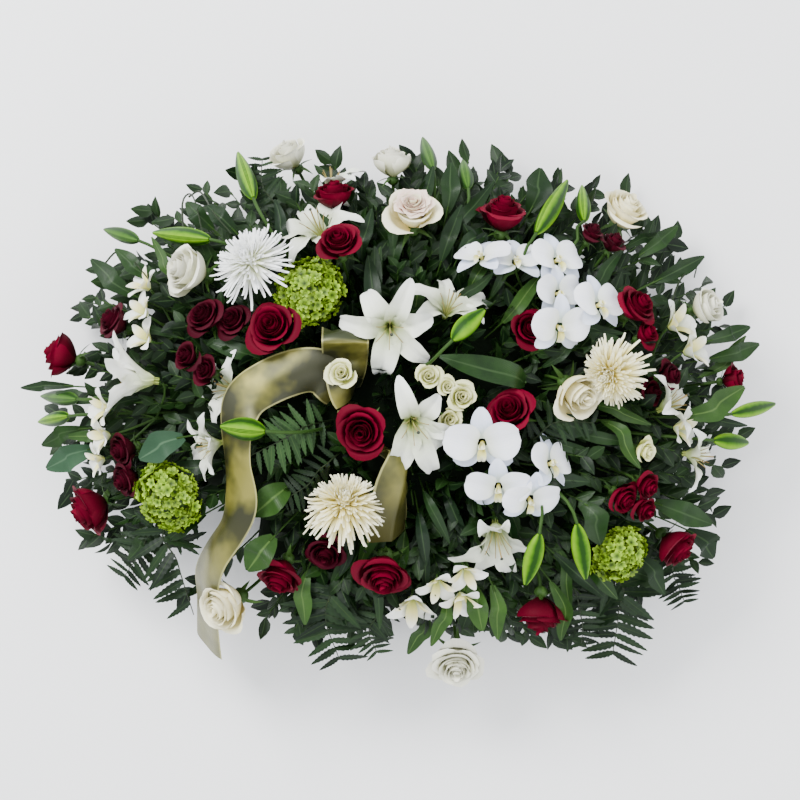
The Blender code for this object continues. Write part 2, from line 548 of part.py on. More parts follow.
def fern(row, keep_out):
    """Frond: one thin arched blade whose outline is cut to the rib into leaflets."""
    rib_rows, reach, pairs = row
    knots = [dome_point(*rib) for rib in rib_rows]
    knots.insert(0, stem_root(*rib_rows[0][:2]))
    stations = pairs + 3
    ribs = push_clear(curve_points(knots, stations), keep_out, 5 * MM)
    half_rib = 1.3 * MM
    upper, faces, normals = [], [], []
    for i, point in enumerate(ribs):
        ahead = (ribs[min(i + 1, stations)] - ribs[max(i - 1, 0)]).normalized()
        side = ahead.cross(Vector((0, 0, 1))).normalized()
        upper += [point - side * half_rib, point + side * half_rib]
        normals += [side.cross(ahead)] * 2
    first = stations - pairs
    tips = []
    for i in range(first, stations):
        middle = (ribs[i] + ribs[i + 1]) / 2
        ahead = (ribs[i + 1] - ribs[i]).normalized()
        side = ahead.cross(Vector((0, 0, 1))).normalized()
        grow = math.sin(math.pi * (0.20 + 0.74 * (i - first) / pairs))
        for sign in (-1, 1):
            tip = middle + (side * sign + ahead * 0.45) * reach * CM * grow - Vector((0, 0, 0.12 * reach * CM))
            tips.append(push_clear([tip], keep_out, 3 * MM)[0])
            normals.append(side.cross(ahead))
    rim_left, rim_right = [], []
    count = len(upper)
    outline = upper + tips
    for i in range(stations):
        a, b, c, d = 2 * i, 2 * i + 1, 2 * i + 3, 2 * i + 2
        faces.append((a, b, c, d))
        if i >= first:
            left, right = count + 2 * (i - first), count + 2 * (i - first) + 1
            faces += [(a, d, left), (b, right, c)]
            rim_left += [a, left]
            rim_right += [b, right]
        else:
            rim_left.append(a)
            rim_right.append(b)
    rim = rim_right + [2 * stations + 1, 2 * stations] + rim_left[::-1]
    top = [p + n * FERN_THICKNESS / 2 for p, n in zip(outline, normals)]
    bottom = [p - n * FERN_THICKNESS / 2 for p, n in zip(outline, normals)]
    shift = len(outline)
    faces += [tuple(v + shift for v in face[::-1]) for face in faces[:]]
    for i, here in enumerate(rim):
        after = rim[(i + 1) % len(rim)]
        faces.append((after, here, here + shift, after + shift))
    return top + bottom, faces


def ribbon_strip(knots, keep_out):
    """Satin strip with a thin flat section along its knots."""
    steps = 2 * (len(knots) - 1)
    centres = curve_points([dome_point(x, y, lift) for x, y, lift, _, _ in knots], steps)
    centres = push_clear(centres, keep_out, 5 * MM)
    shapes = curve_points([Vector((factor, turn, 0)) for _, _, _, factor, turn in knots], steps)
    rings = []
    for i, (point, shape) in enumerate(zip(centres, shapes)):
        turn = math.radians(shape.y)
        across = Vector((math.cos(turn), math.sin(turn), 0))
        ahead = (centres[min(i + 1, steps)] - centres[max(i - 1, 0)]).normalized()
        across = (across - ahead * across.dot(ahead)).normalized()
        normal = across.cross(ahead) * RIBBON_THICKNESS / 2
        half = RIBBON_WIDTH * shape.x / 2
        rings.append([point - across * half - normal, point + across * half - normal,
                      point + across * half + normal, point - across * half + normal])
    return loft(rings)


def make_object(name, points, faces, material):
    """Blender object of one closed body, with its faces turned outwards."""
    mesh = bpy.data.meshes.new(name)
    mesh.from_pydata([tuple(p) for p in points], [], faces)
    work = bmesh.new()
    work.from_mesh(mesh)
    if work.calc_volume(signed=True) < 0:
        bmesh.ops.reverse_faces(work, faces=work.faces[:])
    work.to_mesh(mesh)
    work.free()
    made = bpy.data.objects.new(name, mesh)
    if material:
        mesh.materials.append(material)
    bpy.context.scene.collection.objects.link(made)
    return made


def boolean(target, bodies, operation, solver, grow=0.0):
    """Join bodies to target, or cut them out of it, grown along their normals by grow."""
    group = bpy.data.collections.new("operands")
    bpy.context.scene.collection.children.link(group)
    for points, faces in bodies:
        piece = make_object("operand", points, faces, None)
        if grow:
            normals = np.array([n.vector[:] for n in piece.data.vertex_normals])
            places = np.array([v.co[:] for v in piece.data.vertices]) + normals * grow
            piece.data.vertices.foreach_set("co", places.ravel())
        bpy.context.scene.collection.objects.unlink(piece)
        group.objects.link(piece)
    change = target.modifiers.new("join", "BOOLEAN")
    change.operation = operation
    change.operand_type = "COLLECTION"
    change.collection = group
    change.solver = solver
    bpy.context.view_layer.update()
    evaluated = target.evaluated_get(bpy.context.evaluated_depsgraph_get())
    mesh = bpy.data.meshes.new_from_object(evaluated)
    target.modifiers.clear()
    target.data = mesh
    for piece in list(group.objects):
        bpy.data.objects.remove(piece)
    bpy.data.collections.remove(group)
    keep_largest(target)


def keep_largest(target):
    """Drop loose scraps: keep the body with the most vertices."""
    work = bmesh.new()
    work.from_mesh(target.data)
    unseen = set(work.verts)
    islands = []
    while unseen:
        stack = [unseen.pop()]
        island = []
        while stack:
            vert = stack.pop()
            island.append(vert)
            for edge in vert.link_edges:
                other = edge.other_vert(vert)
                if other in unseen:
                    unseen.discard(other)
                    stack.append(other)
        islands.append(island)
    islands.sort(key=len, reverse=True)
    for island in islands[1:]:
        bmesh.ops.delete(work, geom=island, context="VERTS")
    work.to_mesh(target.data)
    work.free()


def material(name, colour, roughness):
    """Principled material with one colour."""
    made = bpy.data.materials.new(name)
    made.use_nodes = True
    shader = made.node_tree.nodes["Principled BSDF"]
    shader.inputs["Base Color"].default_value = (*colour, 1)
    shader.inputs["Roughness"].default_value = roughness
    return made


def box_of(bodies):
    """Low and high corner of all points of the bodies."""
    points = np.array([tuple(p) for body in bodies for p in body[0]])
    return points.min(axis=0), points.max(axis=0)


def near(box, other, reach):
    """Whether two boxes come within reach of each other."""
    return bool(np.all(box[0] - reach < other[1]) and np.all(other[0] - reach < box[1]))


class Spray:
    """Collects the nodes in the order that decides which piece gives way to which."""

    def __init__(self):
        self.nodes = []

    def add(self, name, bodies, finish, solver="MANIFOLD"):
        """Fuse the bodies into one node and trim it clear of the nodes made before it."""
        made = make_object(name, *bodies[0], finish)
        if len(bodies) > 1:
            boolean(made, bodies[1:], "UNION", solver)
        box = box_of(bodies)
        others = [body for _, earlier in self.nodes for body in earlier
                  if near(box, box_of([body]), 2 * TRIM)]
        if others:
            boolean(made, others, "DIFFERENCE", "MANIFOLD", TRIM)
        self.nodes.append((name, bodies))
        return made


def build():
    """Model the whole spray."""
    for old in list(bpy.data.objects):
        bpy.data.objects.remove(old)
    rng = random.Random(SEED)
    red = material("red_petals", RED, 0.5)
    white = material("white_petals", WHITE, 0.5)
    cream = material("cream_petals", CREAM, 0.5)
    lily_white = material("lily_petals", LILY_WHITE, 0.45)
    orchid_white = material("orchid_petals", ORCHID_WHITE, 0.4)
    lime = material("viburnum_florets", LIME, 0.6)
    green = material("foliage", LEAF_GREEN, 0.5)
    fern_green = material("fern_leaf", FERN_GREEN, 0.55)
    gold = material("ribbon_satin", GOLD, 0.35)

    spray = Spray()
    keep_out, stalks = [], []

    def head(row):
        """Middle, axis and diameter of a head, and its ball in the keep-out list."""
        x, y, diameter, lean, heading, lift = row
        centre, axis = dome_point(x, y, lift), facing(x, y, lean, heading)
        return x, y, centre, axis, diameter * CM

    def round_head(row, make, depth, calyx):
        """Bodies of a round head, with its stalk and keep-out ball noted."""
        x, y, centre, axis, diameter = head(row)
        keep_out.append((centre, diameter * 0.5))
        stalks.append((centre - axis * diameter * depth, axis, diameter * calyx))
        return make(centre, axis, diameter)

    def join_spray(seats, drop):
        """Pedicels of a spray, with the stalk under their fork noted."""
        bodies, fork, lean = pedicels(seats, drop)
        stalks.append((fork, lean, 4 * MM))
        return bodies

    foam_and_tray(spray)

    for name, rows in {**RED_ROSES, **WHITE_ROSES}.items():
        finish = red if name in RED_ROSES else white
        bodies = []
        for row in rows:
            make, depth = (rose, 0.41) if row[2] > LARGEST_SPRAY_ROSE else (small_rose, 0.425)
            bodies += round_head(row, make, depth, 0.20)
        spray.add(name, bodies, finish)
    for name, rows in SPRAY_ROSES.items():
        bodies = [body for row in rows for body in round_head(row, small_rose, 0.425, 0.20)]
        spray.add(name, bodies, cream)
    for name, row in MUMS.items():
        spray.add(name, round_head(row, spider_mum, 0.21, 0.08), white)
    for name, row in VIBURNUMS.items():
        spray.add(name, round_head(row, viburnum, 0.30, 0.06), lime)
    for name, rows in SPRAYS.items():
        bodies, seats = [], []
        for kind, x, y, span, lean, heading, lift, flare, petals in rows:
            centre, axis = dome_point(x, y, lift), facing(x, y, lean, heading)
            span *= CM
            if kind == "orchid":
                seats.append((centre - axis * ORCHID_DEPTH, axis))
                keep_out.append((centre - axis * 5 * MM, span * 0.3))
                keep_out += petal_balls(centre, axis, span * 0.30, span * 0.15)
                bodies += orchid(centre, axis, span)
            elif kind == "lily":
                seats.append((centre - axis * span * LILY_DEPTH, axis))
                keep_out.append((centre - axis * span * 0.12, span * 0.20))
                keep_out += petal_balls(centre, axis, span * 0.30, span * 0.11)
                bodies += lily(centre, axis, span, flare, petals)
            else:
                seats.append((centre - axis * span * SMALL_DEPTH, axis))
                keep_out.append((centre - axis * span * 0.12, span * 0.30))
                bodies += alstroemeria(centre, axis, span)
        if len(seats) > 1:
            bodies += join_spray(seats, SPRAY_DROP)
        else:
            seat, axis = seats[0]
            stalks.append((seat, axis, rows[0][3] * CM * 0.05))
        spray.add(name, bodies, orchid_white if rows[0][0] == "orchid" else lily_white)

    strips = [ribbon_strip(knots, []) for knots in RIBBON_STRIPS]
    spray.add("ribbon", strips, gold)
    for name, row in FERNS.items():
        spray.add(name, [fern(row, keep_out)], fern_green)

    bodies = [core()] + [head_stalk(*stalk, keep_out) for stalk in stalks]
    bodies += [bud(row, keep_out) for row in BUDS]
    for tip_x, tip_y, base_x, base_y, width, lift in LEAVES:
        tip, base = dome_point(tip_x, tip_y, lift), dome_point(base_x, base_y, lift - 1.4)
        bodies.append(leaf(tip, base, width * CM, base_x, base_y, keep_out, rng))
    bodies += [fern(row, keep_out) for row in SMALL_FERNS]
    thicket = spray.add("greenery", bodies, green)
    boolean(thicket, [peg(x, y, 0.0) for x, y in peg_places()], "UNION", "MANIFOLD")


def core():
    """Dense middle of the thicket: a low dome with a leafy relief."""
    sides, rings = 16, []
    for row, (out, height) in enumerate(((0.58, 0.0), (0.98, 0.20), (0.94, 0.50), (0.72, 0.80), (0.38, 0.96))):
        ring = []
        for k in range(sides):
            turn = 2 * math.pi * (k + 0.5 * row) / sides
            swell = 1.08 if (k + row) % 2 else 0.91
            ring.append(Vector((CORE_LENGTH * out * swell * math.cos(turn),
                                CORE_WIDTH * out * swell * math.sin(turn),
                                CORE_FOOT + (CORE_TOP - CORE_FOOT) * height)))
        rings.append(ring)
    return loft(rings, end=(0, 0, CORE_TOP))


def peg_places():
    """Plan places of the stems that stand in the foam, in metres."""
    step = FOAM_LENGTH / (PEG_COLUMNS + 1)
    for column in range(PEG_COLUMNS):
        for row in (-1, 1):
            yield (column + 1) * step - FOAM_LENGTH / 2, row * FOAM_WIDTH / 4


def peg(x, y, grow):
    """Cut stem end that stands in the foam, widened by grow for its hole."""
    low = FOAM_TOP - PEG_DEPTH - grow
    return tube([Vector((x, y, low)), Vector((x, y, FOAM_TOP + 0.02))], [PEG_RADIUS + grow] * 2, 6)


def block(length, width, low, high):
    """Upright box centred on the origin in the plan."""
    corners = [(-1, -1), (1, -1), (1, 1), (-1, 1)]
    return loft([[Vector((sx * length / 2, sy * width / 2, z)) for sx, sy in corners] for z in (low, high)])


def foam_and_tray(spray):
    """Foam block with plain stem holes, in a shallow tray with sloping walls."""
    foam = make_object("floral_foam", *block(FOAM_LENGTH, FOAM_WIDTH, TRAY_WALL + CLEARANCE, FOAM_TOP),
                       material("foam", FOAM_GREEN, 0.9))
    holes = [peg(x, y, CLEARANCE) for x, y in peg_places()]
    boolean(foam, holes, "DIFFERENCE", "EXACT")
    tray = make_object("tray", *block(TRAY_LENGTH, TRAY_WIDTH, 0.0, TRAY_DEPTH),
                       material("tray_plastic", TRAY_GREEN, 0.45))
    well = block(FOAM_LENGTH + 2 * CLEARANCE, FOAM_WIDTH + 2 * CLEARANCE, TRAY_WALL, TRAY_DEPTH + 0.01)
    boolean(tray, [well], "DIFFERENCE", "EXACT")
    foam_outside = block(FOAM_LENGTH, FOAM_WIDTH, 0.0, FOAM_TOP)
    spray.nodes.append(("foam", [foam_outside, block(TRAY_LENGTH, TRAY_WIDTH, 0.0, TRAY_DEPTH)]))


build()
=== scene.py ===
import math

import bpy
import numpy as np
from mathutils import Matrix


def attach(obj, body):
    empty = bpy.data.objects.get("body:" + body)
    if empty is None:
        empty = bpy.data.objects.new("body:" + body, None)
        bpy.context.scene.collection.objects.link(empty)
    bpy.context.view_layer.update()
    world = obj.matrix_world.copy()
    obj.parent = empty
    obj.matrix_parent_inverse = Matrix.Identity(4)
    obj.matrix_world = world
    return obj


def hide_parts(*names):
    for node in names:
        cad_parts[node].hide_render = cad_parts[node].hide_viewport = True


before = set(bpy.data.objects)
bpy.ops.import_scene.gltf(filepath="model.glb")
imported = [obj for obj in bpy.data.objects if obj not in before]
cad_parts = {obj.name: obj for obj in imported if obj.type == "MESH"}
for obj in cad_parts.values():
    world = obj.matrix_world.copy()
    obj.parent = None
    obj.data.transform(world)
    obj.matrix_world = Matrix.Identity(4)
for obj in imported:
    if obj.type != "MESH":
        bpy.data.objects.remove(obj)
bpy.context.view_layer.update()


# Foam and tray
# The wet floral foam is a fine-celled green block that holds every stem. It stands in a
# shallow moulded tray of dark green plastic, and both are hidden by the leaves.

MM = 0.001


def wire(tree, kind, inputs=None, **settings):
    """Shader node of the kind with its settings, each input linked to a socket or given a value."""
    node = tree.nodes.new("ShaderNode" + kind)
    for key, value in settings.items():
        setattr(node, key, value)
    for key, value in (inputs or {}).items():
        if isinstance(value, bpy.types.NodeSocket):
            tree.links.new(value, node.inputs[key])
        else:
            node.inputs[key].default_value = value
    return node


def ramp(tree, factor, stops):
    """Colour ramp over factor through the stops (place, colour)."""
    node = wire(tree, "ValToRGB", {"Fac": factor})
    bar = node.color_ramp.elements
    while len(bar) < len(stops):
        bar.new(0.5)
    for mark, (place, colour) in zip(bar, stops):
        mark.position = place
        mark.color = (*colour, 1)
    return node.outputs["Color"]


def reckon(tree, operation, *values):
    """Result of a Math node over the values, each a socket or a number."""
    return wire(tree, "Math", dict(enumerate(values)), operation=operation).outputs[0]


def noise(tree, places, scale, detail):
    """Cloudy noise over the places."""
    return wire(tree, "TexNoise", {"Vector": places, "Scale": scale, "Detail": detail}).outputs["Fac"]


def new_finish(name, roughness, gloss=0.5):
    """Principled finish, its node tree and shader, and its object coordinates."""
    made = bpy.data.materials.new(name)
    made.use_nodes = True
    tree = made.node_tree
    shader = tree.nodes["Principled BSDF"]
    shader.inputs["Roughness"].default_value = roughness
    shader.inputs["Specular IOR Level"].default_value = gloss
    return made, tree, shader, wire(tree, "TexCoord").outputs["Object"]


def paint(tree, shader, colour):
    """Base colour of the shader from a socket."""
    tree.links.new(colour, shader.inputs["Base Color"])


def relief(tree, shader, height, strength, distance):
    """Bump on the shader from a height."""
    bump = wire(tree, "Bump", {"Height": height, "Strength": strength, "Distance": distance})
    tree.links.new(bump.outputs["Normal"], shader.inputs["Normal"])


foam_skin, tree, shader, places = new_finish("wet_foam", 0.95)
cells = wire(tree, "TexVoronoi", {"Vector": places, "Scale": 900.0})
damp = noise(tree, places, 25.0, 4.0)
paint(tree, shader, ramp(tree, damp, [(0.3, (0.02, 0.07, 0.03)), (0.7, (0.06, 0.17, 0.07))]))
relief(tree, shader, cells.outputs["Distance"], 0.6, 0.4 * MM)

tray_skin, tree, shader, places = new_finish("tray_moulding", 0.35)
scuffs = noise(tree, places, 60.0, 6.0)
paint(tree, shader, ramp(tree, scuffs, [(0.3, (0.010, 0.035, 0.018)), (0.8, (0.022, 0.060, 0.032))]))
relief(tree, shader, scuffs, 0.12, 0.3 * MM)
for node, skin in (("floral_foam", foam_skin), ("tray", tray_skin)):
    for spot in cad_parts[node].material_slots:
        spot.material = skin


# Red roses
# Large velvet roses and clusters of small ones. Each head is made of separate petals,
# set one golden angle on from the last, tight in the heart and rolled back outside.

CM = 0.01
# the half ellipsoid that the heads stand on, and how far a head leans at its rim, in degrees
HALF_LENGTH, HALF_WIDTH = 0.47, 0.345
RIM_HEIGHT, CROWN_RISE, LOWEST_HEAD = 0.085, 0.19, 0.032
RIM_LEAN, LEAN_POWER = 80, 1.3
# turn from one petal to the next in radians, the widest spray rose, and the height of the
# axis under which a head shows its side
GOLDEN_ANGLE = 2.39996
SMALL_ROSE = 0.0425
SIDE_ON = 0.35


def dome(x, y, lift=0.0):
    """Points over plan points (cm) on the half ellipsoid, raised by lift (cm)."""
    x, y, lift = np.broadcast_arrays(np.asarray(x, float), np.asarray(y, float), np.asarray(lift, float))
    across = (x * CM / HALF_LENGTH) ** 2 + (y * CM / HALF_WIDTH) ** 2
    height = RIM_HEIGHT + CROWN_RISE * np.sqrt(np.clip(1 - across, 0, None))
    return np.stack([x * CM, y * CM, np.maximum(LOWEST_HEAD, height + lift * CM)], axis=-1)


def facing(x, y, lean=None, heading=None):
    """Unit direction that a head looks in: outwards from the dome, leaning more towards its rim."""
    if lean is None:
        lean = RIM_LEAN * min(1.0, math.hypot(x * CM / HALF_LENGTH, y * CM / HALF_WIDTH)) ** LEAN_POWER
    if heading is None:
        heading = math.degrees(math.atan2(y / HALF_WIDTH ** 2, x / HALF_LENGTH ** 2))
    tilt, turn = math.radians(lean), math.radians(heading)
    return np.array([math.sin(tilt) * math.cos(turn), math.sin(tilt) * math.sin(turn), math.cos(tilt)])


def unit(vectors):
    """Vectors scaled to length 1."""
    return vectors / np.maximum(np.linalg.norm(vectors, axis=-1, keepdims=True), 1e-12)


def set_on(local, centre, axis, roll=0.0):
    """Local points carried to centre, their z along axis and their y as near to +Y as it can be."""
    up = np.array([0.0, 1, 0]) if abs(axis[1]) < 0.9 else np.array([0.0, 0, 1])
    side = unit(np.cross(up, axis))
    over = unit(np.cross(axis, side))
    c, s = math.cos(roll), math.sin(roll)
    return centre + local @ np.array([side * c + over * s, over * c - side * s, axis])


def grid(rows, cols, low=0.0):
    """v from low to 1 down the rows and u from -1 to 1 across the columns, each (1, rows, cols)."""
    v, u = np.meshgrid(np.linspace(low, 1, rows), np.linspace(-1, 1, cols), indexing="ij")
    return u[None], v[None]


def sheets(points, thickness, look=0, tone=0.5):
    """Closed thin bodies over sheets of points (sheets, rows, cols, 3).

    The upper skin is the sheet raised by half the thickness along its normal, across x along,
    the lower one is the sheet lowered by it, and both meet in the sheet's own edge."""
    count, rows, cols, _ = points.shape
    normal = unit(np.cross(np.gradient(points, axis=2), np.gradient(points, axis=1)))
    top = points.copy()
    top[:, 1:-1, 1:-1] += normal[:, 1:-1, 1:-1] * thickness / 2
    low = (points - normal * thickness / 2)[:, 1:-1, 1:-1]
    upper = np.arange(rows * cols).reshape(rows, cols)
    lower = upper.copy()
    lower[1:-1, 1:-1] = rows * cols + np.arange((rows - 2) * (cols - 2)).reshape(rows - 2, cols - 2)
    quads = [np.stack([a[:-1, :-1], a[:-1, 1:], a[1:, 1:], a[1:, :-1]], -1).reshape(-1, 4)
             for a in (upper, lower)]
    faces = np.concatenate([quads[0], quads[1][:, ::-1]])
    each = rows * cols + (rows - 2) * (cols - 2)
    faces = (faces[None] + each * np.arange(count)[:, None, None]).reshape(-1, 4)
    v, u = np.meshgrid(np.linspace(0, 1, rows), np.linspace(0, 1, cols), indexing="ij")
    flat = np.stack([u, v], -1)
    flat = np.concatenate([flat.reshape(-1, 2), flat[1:-1, 1:-1].reshape(-1, 2)])
    rim = np.ones((rows, cols), bool)
    rim[1:-1, 1:-1] = False
    rim = np.concatenate([rim.ravel(), np.zeros((rows - 2) * (cols - 2), bool)])
    body = np.concatenate([top.reshape(count, -1, 3), low.reshape(count, -1, 3)], axis=1).reshape(-1, 3)
    tone = np.repeat(np.broadcast_to(tone, (count,)), each)
    return body, [faces], np.tile(flat, (count, 1)), tone, np.tile(rim, count), look


def varied(points, thickness, rng, look=0, low=0):
    """Closed bodies over the sheets, each with a tone of its own from low to 1."""
    return sheets(points, thickness, look, rng.uniform(low, 1, len(points)))


def piece(name, parts, skins, slot, *nodes):
    """One object of all the parts, that rides on the root and stands for its nodes.

    A part holds its points, its blocks of faces, and each point's place along it, tone and
    whether it lies on a rim, which stays sharp, and the number of its skin."""
    corners, sizes, looks, shift = [], [], [], 0
    for body, blocks, _, _, _, look in parts:
        for block in blocks:
            corners.append((block + shift).ravel())
            sizes.append(np.full(len(block), block.shape[1]))
            looks.append(np.full(len(block), look))
        shift += len(body)
    corners, sizes, looks = (np.concatenate(a).astype(np.int32) for a in (corners, sizes, looks))
    body, flat, tone, rim = (np.concatenate([part[i] for part in parts]) for i in (0, 2, 3, 4))
    mesh = bpy.data.meshes.new(name)
    mesh.vertices.add(shift)
    mesh.vertices.foreach_set("co", body.astype(np.float32).ravel())
    mesh.loops.add(len(corners))
    mesh.loops.foreach_set("vertex_index", corners)
    mesh.polygons.add(len(sizes))
    mesh.polygons.foreach_set("loop_start", np.concatenate([[0], np.cumsum(sizes)[:-1]]).astype(np.int32))
    mesh.polygons.foreach_set("material_index", looks)
    mesh.update(calc_edges=True)
    mesh.polygons.foreach_set("use_smooth", np.ones(len(sizes), bool))
    mesh.uv_layers.new(name="along").data.foreach_set("uv", flat[corners].astype(np.float32).ravel())
    mesh.attributes.new("tone", "FLOAT", "POINT").data.foreach_set("value", tone.astype(np.float32))
    ends = np.empty(2 * len(mesh.edges), np.int32)
    mesh.edges.foreach_get("vertices", ends)
    mesh.edges.foreach_set("use_edge_sharp", rim[ends].reshape(-1, 2).all(axis=1))
    mesh.validate()
    for skin in skins:
        mesh.materials.append(skin)
    made = bpy.data.objects.new(name, mesh)
    bpy.context.scene.collection.objects.link(made)
    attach(made, "root")
    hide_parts(*nodes)
    return made


def petal_finish(name, foot, middle, edge, roughness=0.5, gloss=0.3, soft=0.0, vein=0.25, shade=0.3):
    """Petal skin: colour from foot to edge along it, a tone of its own for each petal, cloudy
    patches over it, and fine veins along it as relief."""
    made, tree, shader, places = new_finish(name, roughness, gloss)
    flat = wire(tree, "UVMap", uv_map="along").outputs[0]
    drift = reckon(tree, "MULTIPLY_ADD", noise(tree, places, 70.0, 3.0), 0.3, -0.15)
    along = reckon(tree, "ADD", wire(tree, "SeparateXYZ", {"Vector": flat}).outputs["Y"], drift)
    colour = ramp(tree, along, [(0.0, foot), (0.5, middle), (1.0, edge)])
    tone = wire(tree, "Attribute", attribute_name="tone").outputs["Fac"]
    stretched = wire(tree, "Mapping", {"Vector": flat, "Scale": (34.0, 2.2, 1.0)}).outputs[0]
    veins = noise(tree, stretched, 1.0, 2.0)
    value = reckon(tree, "MULTIPLY", reckon(tree, "MULTIPLY_ADD", tone, shade, 1 - shade / 2),
                   reckon(tree, "MULTIPLY_ADD", veins, 0.16, 0.92))
    paint(tree, shader, wire(tree, "HueSaturation", {"Color": colour, "Value": value}).outputs["Color"])
    if soft:
        shader.inputs["Subsurface Weight"].default_value = soft
        shader.inputs["Subsurface Radius"].default_value = (1.0, 0.9, 0.7)
        shader.inputs["Subsurface Scale"].default_value = 3 * MM
    relief(tree, shader, veins, vein, 0.5 * MM)
    return made


def rose_petals(diameter, depth, count, flare, close, ruffle, rng, rows, cols):
    """Petals of a rose, outermost first, as (count, rows, cols, 3) about the head's middle.

    Petal k turns by the golden angle k times and wraps a half angle of 1.0 to 2.4 radians.
    Its radius swells as 1 - (1 - v) ** 2.6, closes over the heart as v ** 4 and rolls out
    near its edge as a square, the outer petals by far the most; one side is tucked under by
    a share of u. Its top falls away to the sides as u ** 2.6 and waves by ruffle. The head is
    then scaled so that 96 of 100 points lie within 0.96 - 0.09 flare of its diameter."""
    u, v = grid(rows, cols, 0.04)
    k = np.arange(count)[:, None, None]
    out = 1 - k / (count - 1)
    mood = rng.normal(size=(5, count, 1, 1))
    v = v * (1 - 0.22 * np.abs(u) ** 2.6)
    wrap = (1.0 + 1.4 * (1 - out) ** 1.4) * (0.60 + 0.40 * np.clip(v / 0.5, 0, 1))
    turn = k * GOLDEN_ANGLE + mood[0] * 0.10 + u * wrap
    roll = flare * out ** 2.2 * np.clip((v - 0.58) / 0.42, 0, 1) ** 2
    wave = ruffle * np.sin(u * 5.2 + mood[1] * 3) * v ** 3
    radius = (0.10 + 0.66 * out ** 1.15) * (1 + 0.03 * mood[2]) * (1 - (1 - v) ** 2.6)
    lip = np.clip((v - 0.70) / 0.30, 0, 1) ** 2 * (1 - 0.6 * u ** 2) * (0.05 + 0.13 * out)
    radius = radius * (1 - close * (1 - 0.55 * out) * v ** 4 + 0.08 * u + 0.8 * wave) + 0.16 * roll + lip
    radius = (0.96 - 0.09 * flare) * radius / np.quantile(radius, 0.96)
    tall = 0.74 + 0.26 * (1 - out) ** 0.6 + 0.03 * mood[3]
    height = -0.5 + tall * v ** 0.92 - 0.16 * roll * (1 + 0.5 * np.abs(u)) + 0.25 * wave - 0.6 * lip
    return np.stack([radius * np.cos(turn) * diameter / 2, radius * np.sin(turn) * diameter / 2,
                     height * depth + 0 * turn], axis=-1)


def rose_head(row, rng, flare=1.0, close=0.35, ruffle=0.03, count=19):
    """Part of the rose at its row (x, y, diameter, lean, heading, lift in cm); notes its stem.

    A head seen from its side, leaning 70 degrees or more, is rounder and more closed."""
    x, y, size, lean, heading, lift = row
    centre, axis, size = dome(x, y, lift), facing(x, y, lean, heading), size * CM
    if axis[2] < SIDE_ON:
        flare, close = 0.4 * flare, close + 0.12
    small = size < SMALL_ROSE
    depth, seat, build = (0.85, 0.425, (12, 7, 7)) if small else (0.82, 0.41, (count, 9, 9))
    petals = rose_petals(size, size * depth, build[0], flare, close, ruffle, rng, *build[1:])
    room.append((centre, size * 0.5))
    stem_ends.append((centre - axis * size * seat, axis, x, y, size * 0.16))
    return varied(set_on(petals, centre, axis, rng.uniform(0, 6)), 0.8 * MM, rng)


# balls of room that leaves are kept out of, as (centre, radius), and where each stem ends,
# as (seat, axis, x and y in cm, calyx radius)
room, stem_ends = [], []
rng = np.random.default_rng(21)
# the red skins run from a near-black foot, painted shade deep in the head, to a lighter edge, painted
# highlight on the petal rims
red_velvet = petal_finish("red_rose_petal", (0.012, 0.0001, 0.0015), (0.074, 0.0001, 0.0075),
                          (0.104, 0.0002, 0.011), roughness=0.6, gloss=0.06, vein=0.18, shade=0.7)
red_dusky = petal_finish("dusky_rose_petal", (0.008, 0.0001, 0.001), (0.028, 0.0001, 0.0035),
                         (0.044, 0.0002, 0.0065), roughness=0.65, gloss=0.10, vein=0.18, shade=0.6)
# rows of x, y, diameter in cm, lean and heading in degrees where they aren't the dome's, and lift in cm
red_roses = {
    1: [(-44.3, 7.2, 5.8, 86, None, 0.0)], 2: [(-36.8, 11.4, 4.9, None, None, 0.0)],
    3: [(-24.9, 11.9, 5.2, None, None, -1.0), (-21.2, 11.3, 4.6, None, None, -1.4)],
    4: [(-27.1, 6.8, 4.0, None, None, -0.6), (-24.6, 5.0, 4.0, None, None, -0.8)],
    5: [(-16.0, 10.4, 6.8, 25, None, 1.0)], 6: [(-8.5, 27.7, 4.9, 72, 95, -1.0)],
    7: [(-7.7, 21.1, 5.7, 38, None, 3.4)], 8: [(13.3, 25.2, 6.4, 68, 84, 0.0)],
    9: [(16.6, 10.4, 5.0, 20, None, -2.5)],
    10: [(30.3, 13.3, 5.5, None, None, 0.0), (31.6, 9.8, 3.8, None, None, -1.0)],
    11: [(24.7, 22.8, 3.5, None, None, 0.0), (27.5, 21.6, 3.5, None, None, 0.0)],
    12: [(32.0, 2.2, 4.0, 50, None, -1.5), (34.5, 4.4, 4.0, 54, None, -0.4)],
    13: [(43.3, 4.0, 3.9, None, None, 0.0)], 14: [(-4.7, -2.6, 6.5, 12, None, 1.5)],
    15: [(13.9, -0.2, 5.9, 30, 120, 0.0)],
    16: [(31.6, -9.6, 4.0, None, None, 0.0), (28.5, -11.2, 4.4, None, None, -0.3),
         (31.2, -12.6, 4.0, None, None, 0.0)],
    17: [(35.8, -17.7, 5.8, None, None, 0.0)], 18: [(18.1, -26.3, 6.2, 84, -92, 0.0)],
    19: [(-2.0, -20.7, 7.0, 48, None, 1.0)], 20: [(-9.4, -18.0, 5.6, None, None, -2.6)],
    21: [(-15.2, -21.2, 6.0, 60, None, 0.0)], 22: [(-40.3, -12.9, 6.6, None, None, 0.0)],
    23: [(-35.5, -5.1, 4.6, None, None, -0.5), (-35.2, -8.9, 4.6, None, None, -0.5)],
}
dusky_ones = (2, 3, 4, 11, 12, 20, 23)
for number, rows in red_roses.items():
    skin = red_dusky if number in dusky_ones else red_velvet
    piece(f"red_rose_{number}_petals", [rose_head(row, rng) for row in rows], [skin], "red_petals",
          f"red_rose_{number}")


# White roses
# Nine white and cream roses, some still closed. One is a garden rose whose heart is
# packed with small ruffled blush petals.

